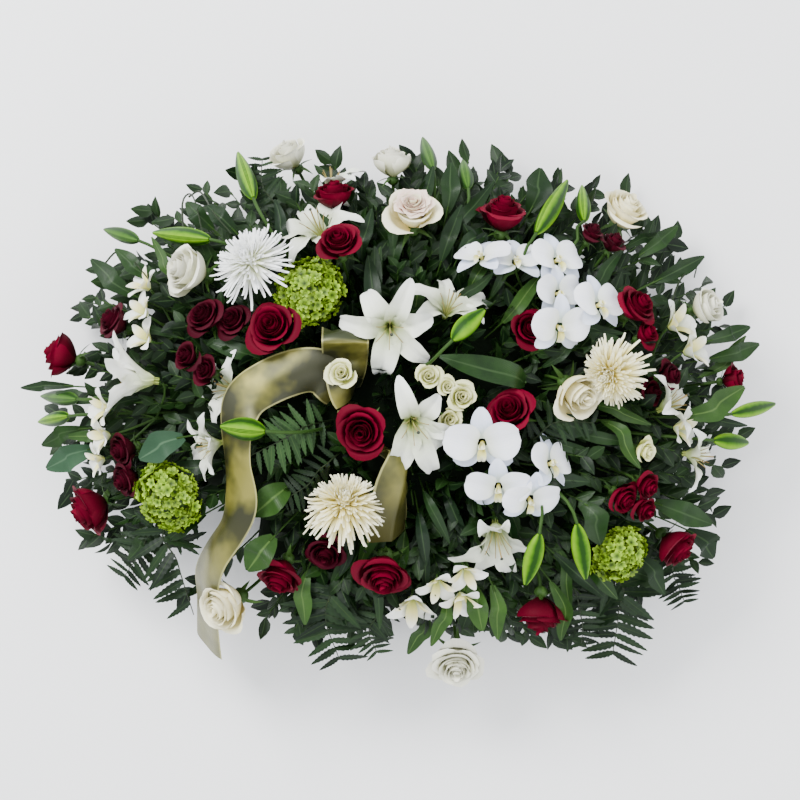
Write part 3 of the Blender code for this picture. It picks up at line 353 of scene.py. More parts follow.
white_rose_skin = petal_finish("white_rose_petal", (0.30, 0.33, 0.10), (0.64, 0.64, 0.46),
                               (0.77, 0.76, 0.64), soft=0.03, vein=0.2, shade=0.34)
cream_rose_skin = petal_finish("cream_rose_petal", (0.58, 0.46, 0.12), (0.80, 0.73, 0.42),
                               (0.86, 0.82, 0.60), soft=0.05, vein=0.2, shade=0.22)
blush_skin = petal_finish("blush_heart_petal", (0.55, 0.28, 0.20), (0.72, 0.46, 0.36), (0.84, 0.68, 0.56),
                          soft=0.15, vein=0.15, shade=0.25)
# row, flare, closing, ruffle, petals, skin
white_roses = {
    1: ((-14.6, 33.7, 5.3, 62, 120, 0.0), 0.3, 0.50, 0.03, 15, white_rose_skin),
    2: ((-1.0, 32.1, 5.2, 74, 92, 1.0), 0.3, 0.45, 0.03, 15, white_rose_skin),
    3: ((1.6, 25.2, 7.0, 38, 88, 1.5), 0.7, 0.12, 0.03, 12, cream_rose_skin),
    4: ((-27.2, 17.9, 7.0, 55, 165, 0.5), 0.6, 0.35, 0.04, 17, white_rose_skin),
    5: ((29.4, 26.1, 6.2, 56, None, 0.5), 0.6, 0.35, 0.05, 19, cream_rose_skin),
    6: ((39.8, 13.5, 5.1, 60, 20, 0.5), 0.3, 0.45, 0.03, 15, white_rose_skin),
    7: ((22.5, 2.2, 6.8, 42, -40, 1.0), 0.5, 0.40, 0.03, 13, cream_rose_skin),
    8: ((-22.6, -25.1, 7.0, 48, -150, 1.5), 0.4, 0.40, 0.03, 17, cream_rose_skin),
    9: ((7.4, -33.0, 6.8, 40, -90, 0.0), 1.0, 0.20, 0.12, 26, white_rose_skin),
}
blush_one = 3
rng = np.random.default_rng(22)
for number, (row, flare, close, ruffle, count, skin) in white_roses.items():
    parts = [rose_head(row, rng, flare, close, ruffle, count)]
    if number == blush_one:
        x, y, size, lean, heading, lift = row
        size, axis = size * CM, facing(x, y, lean, heading)
        heart = rose_petals(size * 0.62, size * 0.34, 34, 0.6, 0.0, 0.22, rng, 6, 7)
        seat = dome(x, y, lift) + axis * size * 0.20
        parts.append(varied(set_on(heart, seat, axis), 0.5 * MM, rng, 1))
    piece(f"white_rose_{number}_petals", parts, [skin, blush_skin], "white_petals", f"white_rose_{number}")


# Cream spray roses
# Small roses of pale greenish cream, five near the middle and one at the right. Each has a
# few soft petals round a tight heart, and stands on a forked stem.

spray_skin = petal_finish("spray_rose_petal", (0.34, 0.40, 0.06), (0.66, 0.67, 0.26), (0.82, 0.81, 0.48),
                          soft=0.15, vein=0.15, shade=0.2)
spray_roses = {
    1: [(-7.3, 4.6, 3.9, None, None, 1.8)],
    2: [(3.6, 4.3, 3.4, None, None, -0.5), (6.0, 3.0, 2.6, None, None, -0.6),
        (7.8, 1.7, 3.8, None, None, -0.5), (6.3, -1.2, 3.4, None, None, -0.6)],
    3: [(31.2, -5.2, 3.4, None, None, 0.5)],
}
rng = np.random.default_rng(23)
for number, rows in spray_roses.items():
    piece(f"spray_rose_{number}_petals", [rose_head(row, rng, 0.9, 0.2, 0.06) for row in rows],
          [spray_skin], "cream_petals", f"spray_rose_{number}")


# Spider chrysanthemums
# Three large heads of narrow trough-shaped petals: the outer ones reach far out and hook
# at their tips, the inner ones stand short and green-tinged round the heart.

def tubes(paths, radii, sides, look=0, tone=0.5, flutes=0.0):
    """Round bodies along paths (tubes, rows, 3) with a radius at each row, capped at both ends.

    Ring points stand at radius times (1 + flutes cos 3 a) round the path, at even angles a."""
    count, rows, _ = paths.shape
    radii = np.broadcast_to(radii, (count, rows))[..., None, None]
    ahead = unit(np.gradient(paths, axis=1))
    span = np.abs(paths[:, -1] - paths[:, 0])
    helper = np.eye(3)[np.argmin(span, axis=1)][:, None, :]
    side = unit(np.cross(helper, ahead))
    over = np.cross(ahead, side)
    a = (np.arange(sides) * 2 * np.pi / sides)[None, None, :, None]
    out = np.cos(a) * side[:, :, None] + np.sin(a) * over[:, :, None]
    ring = paths[:, :, None] + radii * (1 + flutes * np.cos(3 * a)) * out
    here = np.arange(rows * sides).reshape(rows, sides)
    after = np.roll(here, -1, axis=1)
    walls = np.stack([here[:-1], after[:-1], after[1:], here[1:]], -1).reshape(-1, 4)
    shift = rows * sides * np.arange(count)[:, None]
    blocks = [(walls[None] + shift[..., None]).reshape(-1, 4), here[-1][None] + shift,
              here[0][None, ::-1] + shift]
    u, v = np.meshgrid(np.linspace(0, 1, sides), np.linspace(0, 1, rows))
    flat = np.tile(np.stack([u, v], -1).reshape(-1, 2), (count, 1))
    rim = np.zeros((rows, sides), bool)
    rim[[0, -1]] = True
    tone = np.repeat(np.broadcast_to(tone, (count,)), rows * sides)
    return ring.reshape(-1, 3), blocks, flat, tone, np.tile(rim.ravel(), count), look


def turned_out(out, sway, turn, height):
    """Points at out along and sway across the direction turn in the plane, at a height over it."""
    return np.stack([out * np.cos(turn) - sway * np.sin(turn), out * np.sin(turn) + sway * np.cos(turn),
                     height], axis=-1)


def needle_petals(radius, count, sink, crowd, rng):
    """Petals of a spider chrysanthemum, from the outermost to the heart.

    Petal k turns by the golden angle. It leaves the heart at -12 to 85 degrees over the plane,
    sinks by up to sink degrees along its length and hooks up as v ** 4. Its section is a
    trough, and its length falls with its share of the count to the power crowd."""
    u, v = grid(9, 3)
    k = np.arange(count)[:, None, None]
    inner = (k + 0.5) / count
    mood = rng.normal(size=(5, count, 1, 1))
    rise = -12 + 97 * inner ** 1.25 + 5 * mood[0]
    angle = np.radians(rise - sink * (1 - inner) * v + (38 + 14 * mood[1]) * v ** 4)
    length = radius * (0.92 - 0.66 * inner ** crowd) * (1 + 0.07 * mood[2])
    step = length / 8
    reach = 0.17 * radius * np.cos(np.radians(rise)) + np.cumsum(np.cos(angle), axis=1) * step
    height = 0.17 * radius * np.sin(np.radians(rise)) + np.cumsum(np.sin(angle), axis=1) * step
    half = 2.1 * MM * (0.45 + 0.55 * np.sin(np.pi * (0.1 + 0.85 * v)) ** 0.8) * (1 - 0.35 * inner)
    turn = k * GOLDEN_ANGLE + 0.08 * mood[3]
    trough = 0.55 * half * u ** 2
    sway = half * u + 0.04 * radius * mood[4] * v ** 2
    return turned_out(reach - trough * np.sin(angle), sway, turn, height + trough * np.cos(angle))


mum_skin = petal_finish("white_needle_petal", (0.66, 0.70, 0.34), (0.88, 0.89, 0.86), (0.93, 0.94, 0.95),
                        roughness=0.55, soft=0.1, vein=0.1, shade=0.12)
cream_mum_skin = petal_finish("cream_needle_petal", (0.60, 0.46, 0.05), (0.80, 0.71, 0.28),
                              (0.88, 0.86, 0.66), roughness=0.55, soft=0.1, vein=0.1, shade=0.12)
# row, how far the outer petals sink in degrees, petals, how soon they shorten, skin
mums = {
    1: ((-19.0, 18.9, 10.0, 45, 130, 2.0), 26, 280, 0.9, mum_skin),
    2: ((-6.9, -11.8, 11.6, 42, 90, 2.0), 74, 420, 0.5, cream_mum_skin),
    3: ((26.6, 4.6, 10.0, 38, 205, 2.2), 66, 420, 0.45, cream_mum_skin),
}
rng = np.random.default_rng(24)
for number, ((x, y, size, lean, heading, lift), sink, count, crowd, skin) in mums.items():
    centre, axis, radius = dome(x, y, lift), facing(x, y, lean, heading), size * CM / 2
    needles = needle_petals(radius, count, sink, crowd, rng)
    heart = np.stack([centre + axis * radius * h for h in (-0.40, -0.12, 0.06, 0.22, 0.30)])[None]
    parts = [varied(set_on(needles, centre, axis), 0.5 * MM, rng),
             tubes(heart, radius * np.array([0.10, 0.20, 0.24, 0.16, 0.04]), 12)]
    room.append((centre, radius))
    stem_ends.append((centre - axis * radius * 0.42, axis, x, y, radius * 0.16))
    piece(f"spider_mum_{number}_petals", parts, [skin], "mum_petals", f"spider_mum_{number}")


# Viburnum heads
# Three lime green snowball heads, each a loose ball of five-petalled florets with darker
# gaps between them, painted shade from a dark inner ball.

FLORET_PETALS = 5
FLORETS = 270


def scatter(local, centres, normals, rolls, sizes):
    """Copies of local sheets (sheets, rows, cols, 3) at each centre, with z along its normal."""
    helper = np.eye(3)[np.argmin(np.abs(normals), axis=1)]
    side = unit(np.cross(helper, normals))
    over = np.cross(normals, side)
    c, s = np.cos(rolls)[:, None], np.sin(rolls)[:, None]
    turned = np.stack([side * c + over * s, over * c - side * s, normals], axis=1) * sizes[:, None, None]
    made = np.einsum("srcj,njk->nsrck", local, turned) + centres[:, None, None, None]
    return made.reshape(-1, *local.shape[1:])


def floret():
    """Floret of unit reach: round petals, half as wide as long, dished upwards as v ** 2."""
    u, v = grid(3, 3)
    turn = 2 * np.pi * np.arange(FLORET_PETALS)[:, None, None] / FLORET_PETALS
    half = 0.40 * np.array([0.45, 1.0, 0.55])[None, :, None]
    reach = 0.08 + 0.92 * v - 0.12 * u ** 2 * v
    return turned_out(reach, half * u, turn, 0.30 * v ** 2 + 0.12 * u ** 2 + 0 * turn)


lime_skin = petal_finish("viburnum_floret", (0.035, 0.075, 0.003), (0.15, 0.27, 0.006),
                         (0.26, 0.41, 0.018), roughness=0.55, vein=0.1, shade=0.9)
lime_shade_inside = petal_finish("viburnum_inside_painted_shade", (0.02, 0.05, 0.008), (0.04, 0.09, 0.012), (0.05, 0.11, 0.015))
# x, y, diameter and lift in cm
viburnums = {1: (-11.6, 15.1, 8.8, -1.0), 2: (-29.6, -11.1, 8.8, 0.0), 3: (28.1, -18.5, 7.6, -1.0)}
rng = np.random.default_rng(25)
for number, (x, y, size, lift) in viburnums.items():
    centre, axis, radius = dome(x, y, lift), facing(x, y), size * CM * 0.47
    k = np.arange(FLORETS)
    height = 1 - 1.72 * (k + 0.5) / FLORETS
    level, turn = np.sqrt(1 - height ** 2), k * GOLDEN_ANGLE
    out = np.stack([level * np.cos(turn), level * np.sin(turn), height], -1)
    out = unit(out + rng.normal(0, 0.10, (FLORETS, 3)))
    lumps = 1 + 0.10 * np.sin(5 * out[:, :1] + 2) * np.sin(6 * out[:, 1:2] + number)
    lumps = lumps + rng.uniform(-0.22, 0.08, (FLORETS, 1))
    spots = out * np.array([1, 1, 0.72]) * radius * lumps
    normals = unit(set_on(out, np.zeros(3), axis) + rng.normal(0, 0.22, (FLORETS, 3)))
    rolls, sizes = rng.uniform(0, 6, FLORETS), rng.uniform(5.6, 9.0, FLORETS) * MM
    tips = scatter(floret(), set_on(spots, centre, axis), normals, rolls, sizes)
    # the inner ball under the florets takes the dark skin: painted shade in the gaps
    ball = centre + axis * radius * np.array([-0.62, -0.5, -0.25, 0.05, 0.35, 0.5, 0.56])[:, None]
    parts = [sheets(tips, 0.4 * MM, 0, np.repeat(rng.uniform(0, 1, FLORETS), FLORET_PETALS)),
             tubes(ball[None], radius * np.array([0.12, 0.5, 0.74, 0.82, 0.62, 0.36, 0.05]), 14, 1)]
    room.append((centre, radius * 0.95))
    stem_ends.append((centre - axis * size * CM * 0.30, axis, x, y, size * CM * 0.05))
    piece(f"viburnum_{number}_florets", parts, [lime_skin, lime_shade_inside], "viburnum_florets",
          f"viburnum_{number}")


# Lilies
# White trumpet lilies with six curling petals, ribbed along the middle and green in the
# throat. Their anthers are removed, which leaves pale filaments and a dark stigma. Two that
# share a green stem fork from it.

# depth of a fork under its heads, in metres
FORK_DROP = 0.045


def outline(v, start, run, widest, blunt, least=0.001):
    """Half width of a petal or leaf at v, as a share of its widest: the sine of
    pi (start + run v) ** widest, no less than least, to the power blunt."""
    sine = np.sin(np.pi * np.clip(start + run * v, 0, 1) ** widest)
    return np.maximum(np.clip(sine, least, 1) ** blunt, 0.05)


def open_petals(turns, lengths, halves, rise, fall, widest, blunt, cup, groove, ruffle, rng, rows=13, cols=9,
                waves=2.5):
    """Petals round a hub as (petals, rows, cols, 3), z along the flower's axis.

    The spine leaves the hub at rise degrees over the plane and turns evenly to fall. The
    half width follows the outline, the edges rise by cup u ** 2, the midrib sinks by groove
    near u = 0, and the edges wave by ruffle."""
    u, v = grid(rows, cols)
    turns, lengths, halves, rise, fall = (np.broadcast_to(np.asarray(a, float), (len(turns),))[:, None, None]
                                          for a in (turns, lengths, halves, rise, fall))
    mood = rng.normal(size=(3, len(turns), 1, 1))
    angle = np.radians(rise + (fall - rise) * v ** 1.1 + 6 * mood[0] * v)
    step = lengths / (rows - 1)
    reach = 1.5 * MM + np.cumsum(np.cos(angle), axis=1) * step
    height = np.cumsum(np.sin(angle), axis=1) * step
    half = halves * outline(v, 0.05, 0.93, widest, blunt)
    raised = half * (cup * u ** 2 - groove * np.exp(-(u / 0.16) ** 2))
    ripple = np.sin(2 * np.pi * waves * v + 2 * mood[1] + 1.6 * np.sign(u))
    raised = raised + ruffle * half * np.abs(u) ** 1.5 * ripple
    sway = half * u + 0.03 * lengths * mood[2] * v ** 2
    return turned_out(reach - raised * np.sin(angle), sway, turns, height + raised * np.cos(angle))


def petal_room(turns, reach, radius, middle, axis):
    """Notes a ball of room at reach from the middle along each turn."""
    for turn in turns:
        out = np.array([math.cos(turn), math.sin(turn), 0])
        room.append((set_on(out * reach, middle, axis), radius))


def lily_flower(row, rng):
    """Parts of a lily at its row (x, y, span, lean, heading, lift, flare, petals); notes its stem.

    Each petal is given by its angle in degrees round the hub and its share of the full length."""
    x, y, span, lean, heading, lift, flare, shown = row
    span = span * CM
    axis = facing(x, y, lean, heading)
    base = dome(x, y, lift) - axis * span * 0.30
    turns, shares = np.radians([angle for angle, _ in shown]), np.array([share for _, share in shown])
    halves = span * np.where(np.arange(len(shown)) % 2, 0.145, 0.110) * shares ** 0.5
    petals = open_petals(turns, span * 0.70 * shares, halves, 76, 90 - flare * 1.45, 0.85, 0.75, 0.30,
                         0.20, 0.26, rng)
    turn = (np.pi / 3 * np.arange(6) + 0.5)[:, None, None]
    v = np.linspace(0, 1, 8)[None, :, None]
    out = span * (0.03 + 0.13 * v ** 2)
    threads = np.concatenate([out * np.cos(turn), out * np.sin(turn), span * 0.40 * v + 0 * turn], axis=-1)
    style = np.stack([0.02 * v[..., 0] ** 2, 0.03 * v[..., 0] ** 2, 0.50 * v[..., 0]], -1) * span
    knob = style[:, -1:] + np.array([[0, 0, -1.0], [0, 0, 0.4], [0, 0, 1.6], [0, 0, 2.2]])[None] * MM
    middle = dome(x, y, lift)
    room.append((middle - axis * span * 0.12, span * 0.20))
    petal_room(turns, span * 0.30, span * 0.12, middle, axis)
    return [varied(set_on(petals, base, axis), 0.8 * MM, rng),
            tubes(set_on(threads, base, axis), np.linspace(0.9, 0.5, 8) * MM, 5, 1),
            tubes(set_on(style, base, axis), np.linspace(1.2, 1.0, 8) * MM, 6, 1),
            tubes(set_on(knob, base, axis), np.array([0.8, 2.3, 2.0, 0.6]) * MM, 8, 2)], (base, axis)


def bent(start, bend, end, t):
    """Points at the shares t of a quadratic curve from start to end, drawn towards bend."""
    return (1 - t) ** 2 * start + 2 * t * (1 - t) * bend + t * t * end


def join_heads(seats, radius, look):
    """Part of thin stems that curve from each seat (base, axis) to a fork under them; notes
    the stem under the fork."""
    lean = unit(np.sum([axis for _, axis in seats], axis=0))
    fork = np.mean([seat for seat, _ in seats], axis=0) - lean * FORK_DROP
    t = np.linspace(0, 1, 6)[:, None]
    paths = [bent(fork, seat - axis * 0.4 * FORK_DROP, seat + axis * MM, t) for seat, axis in seats]
    stem_ends.append((fork, lean, fork[0] / CM, fork[1] / CM, 2.5 * MM))
    return tubes(np.stack(paths), radius, 6, look)


def off_middle(tree, across):
    """Distance from the middle of a sheet's width, from its place across it."""
    return reckon(tree, "ABSOLUTE", reckon(tree, "SUBTRACT", across, 0.5))


def leaf_finish(name, dark, light, rib, roughness=0.38, side_veins=9.0, gloss=0.18):
    """Leaf skin: dark to light patches, a paler midrib at the middle of u, side veins that
    run from it towards the tip as relief, and a tone of its own for each leaf."""
    made, tree, shader, places = new_finish(name, roughness, gloss)
    split = wire(tree, "SeparateXYZ", {"Vector": wire(tree, "UVMap", uv_map="along").outputs[0]})
    tone = wire(tree, "Attribute", attribute_name="tone").outputs["Fac"]
    mixed = reckon(tree, "MULTIPLY", noise(tree, places, 45.0, 4.0), tone)
    away = off_middle(tree, split.outputs["X"])
    ribbed = wire(tree, "MapRange", {"Value": away, "From Min": 0.015, "From Max": 0.06,
                                     "To Min": 0.75, "To Max": 0.0}).outputs[0]
    painted = wire(tree, "Mix", {0: ribbed, 6: ramp(tree, mixed, [(0.05, dark), (0.75, light)]),
                                 7: (*rib, 1)}, data_type="RGBA")
    paint(tree, shader, painted.outputs[2])
    slant = reckon(tree, "MULTIPLY_ADD", away, -0.8, split.outputs["Y"])
    veins = reckon(tree, "SINE", reckon(tree, "MULTIPLY", slant, side_veins * 6.28))
    height = reckon(tree, "ADD", reckon(tree, "POWER", veins, 8.0), ribbed)
    relief(tree, shader, height, 0.35, 0.4 * MM)
    return made


lily_skin = petal_finish("lily_petal", (0.22, 0.29, 0.05), (0.70, 0.73, 0.60), (0.82, 0.83, 0.80),
                         roughness=0.42, soft=0.08, vein=0.6, shade=0.2)
thread_skin = petal_finish("lily_filament", (0.24, 0.30, 0.06), (0.34, 0.32, 0.10), (0.26, 0.16, 0.05))
stigma_skin = petal_finish("lily_stigma", (0.02, 0.025, 0.015), (0.025, 0.03, 0.02), (0.03, 0.035, 0.025))
stem_skin = leaf_finish("flower_stem", (0.014, 0.038, 0.006), (0.045, 0.105, 0.014), (0.04, 0.09, 0.015), 0.5)
# petals of each lily: angle round the hub in degrees and share of the full length
every = ((15, 1.0), (75, 1.0), (135, 1.0), (195, 1.0), (255, 1.0), (315, 1.0))
upper_lily = ((169, 1.0), (122, 0.85), (69, 1.0), (14, 0.8), (320, 0.95), (261, 0.95))
right_lily = ((151, 1.15), (118, 0.7), (84, 1.0), (12, 1.15), (335, 0.9), (190, 0.75))
middle_lily = ((108, 0.95), (48, 0.70), (348, 0.8), (322, 0.8), (294, 1.15), (248, 1.0))
low_lily = ((250, 1.05), (205, 1.0), (292, 1.15), (338, 0.8), (80, 0.6), (130, 0.7))
# x, y, span in cm, lean and heading in degrees, lift in cm, flare of the petals in degrees, petals
lilies = {
    1: [(-1.3, 9.8, 12.4, 16, -90, 2.0, 112, upper_lily), (6.3, 13.6, 9.6, 40, 70, -0.4, 108, right_lily)],
    2: [(-10.9, 23.9, 11.0, 50, 120, -1.0, 105, every), (-8.9, 30.2, 8.0, 70, 90, -1.0, 75, every[1:4])],
    3: [(1.8, -2.2, 12.0, 22, -75, 2.6, 108, middle_lily)],
    4: [(12.4, -17.0, 11.4, 60, -84, -0.4, 80, low_lily)],
    5: [(-24.6, -4.6, 8.0, 62, -165, -1.0, 70, every), (-22.4, 2.9, 8.6, 45, 170, -2.5, 85, every[1:5])],
}
rng = np.random.default_rng(26)
for number, rows in lilies.items():
    parts, seats = [], []
    for row in rows:
        made, seat = lily_flower(row, rng)
        parts += made
        seats.append(seat)
    if len(seats) > 1:
        parts.append(join_heads(seats, 2.0 * MM, 3))
    else:
        stem_ends.append((*seats[0], rows[0][0], rows[0][1], 0.04 * rows[0][2] * CM))
    piece(f"lily_{number}_flowers", parts, [lily_skin, thread_skin, stigma_skin, stem_skin], "lily_petals",
          f"lily_{number}")


# Alstroemeria
# Small white lily-like flowers in clusters: three broad outer petals, and three narrow
# inner ones with a yellow blaze. Two clusters share their stems with half-hidden lilies.

# length along a bent petal for each length of the flower's span
BENT = 1.12


def small_flower(row, rng):
    """Parts of a small flower at its row (x, y, span, lean, lift); notes its room."""
    x, y, span, lean, lift = row
    span = span * CM * BENT
    axis = facing(x, y, lean)
    base = dome(x, y, lift) - axis * span * 0.36
    roll = rng.uniform(0, 2)
    third = 2 * np.pi / 3 * np.arange(3)
    outer = open_petals(third + 0.3, span * 0.64, span * 0.19, 66, 6, 1.35, 0.55, 0.25, 0.08, 0.12, rng,
                        8, 7, 1.5)
    inner = open_petals(third + 1.35, span * 0.62, span * 0.13, 70, 30, 1.2, 0.65, 0.35, 0.05, 0.10, rng,
                        8, 5, 1.5)
    room.append((dome(x, y, lift) - axis * span * 0.12, span * 0.30))
    return [varied(set_on(outer, base, axis, roll), 0.6 * MM, rng),
            varied(set_on(inner, base, axis, roll), 0.6 * MM, rng, 4)], (base, axis)


small_skin = petal_finish("alstroemeria_petal", (0.40, 0.48, 0.16), (0.80, 0.81, 0.72), (0.85, 0.86, 0.82),
                          roughness=0.5, soft=0.15, vein=0.3, shade=0.15)
blaze_skin = petal_finish("alstroemeria_blaze_petal", (0.42, 0.46, 0.10), (0.78, 0.72, 0.30),
                          (0.84, 0.84, 0.76), roughness=0.5, soft=0.15, vein=0.3, shade=0.15)
# rows of half-hidden lilies, and rows of small flowers: x, y, span in cm, lean in degrees, lift in cm
clusters = {
    1: ([], [(-33.4, 12.9, 4.2, None, 0.6), (-33.0, 9.4, 4.2, None, 0.6), (-33.2, 16.4, 4.2, None, 0.4)]),
    2: ([(-34.4, 4.2, 12.0, 84, 172, 0.3, 50, every)],
        [(-38.6, 0.2, 4.4, None, 0.4), (-38.6, -3.4, 4.4, None, 0.4), (-39.2, -6.6, 3.8, None, 0.0)]),
    3: ([], [(1.6, -25.4, 5.6, None, -0.8), (4.9, -22.6, 4.4, None, 0.0), (8.4, -21.0, 4.4, None, 0.4),
             (7.9, -24.6, 4.6, None, 0.2)]),
    4: ([(35.3, 1.0, 9.0, 70, 25, 0.0, 88, every[:5]), (38.8, -6.0, 8.4, 70, -10, 0.0, 88, every[::2])],
        [(36.4, -2.4, 4.6, None, 0.6), (35.9, 11.3, 5.2, 60, 0.2), (38.0, 7.9, 5.2, 66, 0.2)]),
}
rng = np.random.default_rng(27)
for number, (large, small) in clusters.items():
    parts, seats = [], []
    for row, make in [(row, lily_flower) for row in large] + [(row, small_flower) for row in small]:
        made, seat = make(row, rng)
        parts += made
        seats.append(seat)
    parts.append(join_heads(seats, 1.6 * MM, 3))
    skins = [lily_skin if number == 4 else small_skin, thread_skin, stigma_skin, stem_skin, blaze_skin]
    piece(f"alstroemeria_{number}_flowers", parts, skins, "lily_petals", f"alstroemeria_{number}")


# Moth orchids
# Two sprays of white moth orchids: two broad round petals, three sepals behind them, and
# a small yellow-green lip with its column in front.

orchid_skin = petal_finish("orchid_petal", (0.78, 0.82, 0.70), (0.90, 0.92, 0.97), (0.93, 0.94, 0.99),
                           roughness=0.38, soft=0.25, vein=0.22, shade=0.10)
# the sepal skin is a greyer, bluer copy of the petal skin: painted shade behind the petals
orchid_shaded_back = petal_finish("orchid_sepal_painted_shade", (0.66, 0.74, 0.60), (0.70, 0.76, 0.90), (0.76, 0.81, 0.95),
                           roughness=0.38, soft=0.25, vein=0.22, shade=0.16)
lip_skin = petal_finish("orchid_lip", (0.52, 0.42, 0.06), (0.66, 0.64, 0.24), (0.84, 0.85, 0.74),
                        roughness=0.4, soft=0.15, vein=0.2, shade=0.2)
# x, y, span in cm, lean and heading in degrees, lift in cm
orchid_sprays = {
    1: [(10.3, -4.4, 7.6, 22, -100, 2.0), (12.4, -10.0, 6.6, 34, -95, 1.5), (16.6, -11.6, 6.2, 40, -60, 1.4),
        (19.4, -6.6, 6.4, 52, 20, 0.0)],
    2: [(10.2, 20.0, 6.0, 55, 110, 0.4), (14.8, 19.4, 6.0, 46, 80, 0.6), (20.3, 19.4, 6.4, 44, 40, 0.6),
        (20.4, 14.9, 5.8, 36, 10, 0.8), (20.4, 10.4, 6.6, 30, -30, 1.2), (25.6, 13.6, 6.6, 46, 30, 0.8)],
}
rng = np.random.default_rng(28)
for number, rows in orchid_sprays.items():
    parts, seats = [], []
    for x, y, span, lean, heading, lift in rows:
        span = span * CM * BENT
        axis, middle = facing(x, y, lean, heading), dome(x, y, lift)
        base = middle - axis * 9 * MM
        broad = open_petals(np.radians([14, 166]), span * 0.52, span * 0.30, 24, -18, 0.95, 0.42, 0.16,
                            0.05, 0.08, rng, 11, 9, 1.0)
        back = open_petals(np.radians([90, 220, 320]), span * np.array([0.50, 0.47, 0.47]), span * 0.165,
                           14, -16, 0.95, 0.55, 0.20, 0.06, 0.05, rng, 10, 7, 1.0)
        lip = open_petals(np.radians([270, 205, 335]), span * np.array([0.24, 0.13, 0.13]),
                          span * np.array([0.07, 0.06, 0.06]), (46, 70, 70), (-30, 80, 80),
                          1.1, 0.6, 0.9, 0.0, 0.1, rng, 7, 5, 1.0)
        column = np.array([[0, 0, -0.02], [0, -0.01, 0.06], [0, -0.03, 0.11], [0, -0.05, 0.13]])[None] * span
        parts += [varied(set_on(broad, base + axis * 2 * MM, axis), 0.9 * MM, rng),
                  varied(set_on(back, base, axis), 0.8 * MM, rng, 3),
                  varied(set_on(lip, base + axis * 3 * MM, axis), 0.7 * MM, rng, 1),
                  tubes(set_on(column, base, axis), span * np.array([0.03, 0.04, 0.045, 0.03]), 8, 1)]
        seats.append((base, axis))
        room.append((middle - axis * 5 * MM, span * 0.3))
        petal_room(np.pi / 3 * np.arange(6) + 0.26, span * 0.30, span * 0.15, middle, axis)
    parts.append(join_heads(seats, 1.6 * MM, 2))
    piece(f"orchid_spray_{number}_flowers", parts, [orchid_skin, lip_skin, stem_skin, orchid_shaded_back],
          "orchid_petals", f"orchid_spray_{number}")


# Ribbon
# One bow of olive gold satin ribbon, 60 mm wide: a loop, a broad band that turns down
# into a long tail, and a shorter tail. It is laid over the leaves by hand.

RIBBON_HALF = 0.030


def smooth_path(knots, rows):
    """Points of a Catmull-Rom curve through the knots at even steps of its parameter."""
    knots = np.asarray(knots, float)
    ends = np.concatenate([[2 * knots[0] - knots[1]], knots, [2 * knots[-1] - knots[-2]]])
    place = np.linspace(0, len(knots) - 1, rows)
    span = np.minimum(place.astype(int), len(knots) - 2)
    t = (place - span)[:, None]
    a, b, c, d = (ends[span + i] for i in range(4))
    return 0.5 * (2 * b + (c - a) * t + (2 * a - 5 * b + 4 * c - d) * t ** 2
                  + (3 * b - a - 3 * c + d) * t ** 3)


def ribbon_sheet(knots, rows, crease):
    """Ribbon (1, rows, cols, 3) along knots (x, y, lift in cm, tilt, turn, curl in degrees).

    Across it p runs from -1 to 1 on an arc of half angle curl, 60 mm long whatever its curl,
    so the satin keeps its width. The arc faces up, is rolled about the path by tilt, and lies
    across it in the plan at turn. A crease folds it along the middle by |p| crease."""
    knots = np.array(knots)
    path = smooth_path(dome(knots[:, 0], knots[:, 1], knots[:, 2]), rows)
    tilt, turn, curl = np.radians(smooth_path(knots[:, 3:], rows)).T[:, :, None, None]
    across = np.concatenate([np.cos(turn), np.sin(turn), 0 * turn], -1)
    ahead = unit(np.gradient(path, axis=0))[:, None]
    across = unit(across - ahead * (across * ahead).sum(-1, keepdims=True))
    normal = np.cross(across, ahead)
    normal = normal * np.sign(normal[..., 2:])
    p = np.linspace(-1, 1, 17)[None, :, None]
    s = np.linspace(0, 1, rows)[:, None, None]
    sideways = RIBBON_HALF * np.sin(curl * p) / curl
    height = RIBBON_HALF * (np.cos(curl * p) - 1) / curl - RIBBON_HALF * crease * np.abs(p)
    height = height + 0.0022 * np.sin(11 * s + 2.2 * p) + 0.0010 * np.sin(29 * s - 3 * p) * p
    return (path[:, None] + across * (sideways * np.cos(tilt) - height * np.sin(tilt))
            + normal * (sideways * np.sin(tilt) + height * np.cos(tilt)))[None]


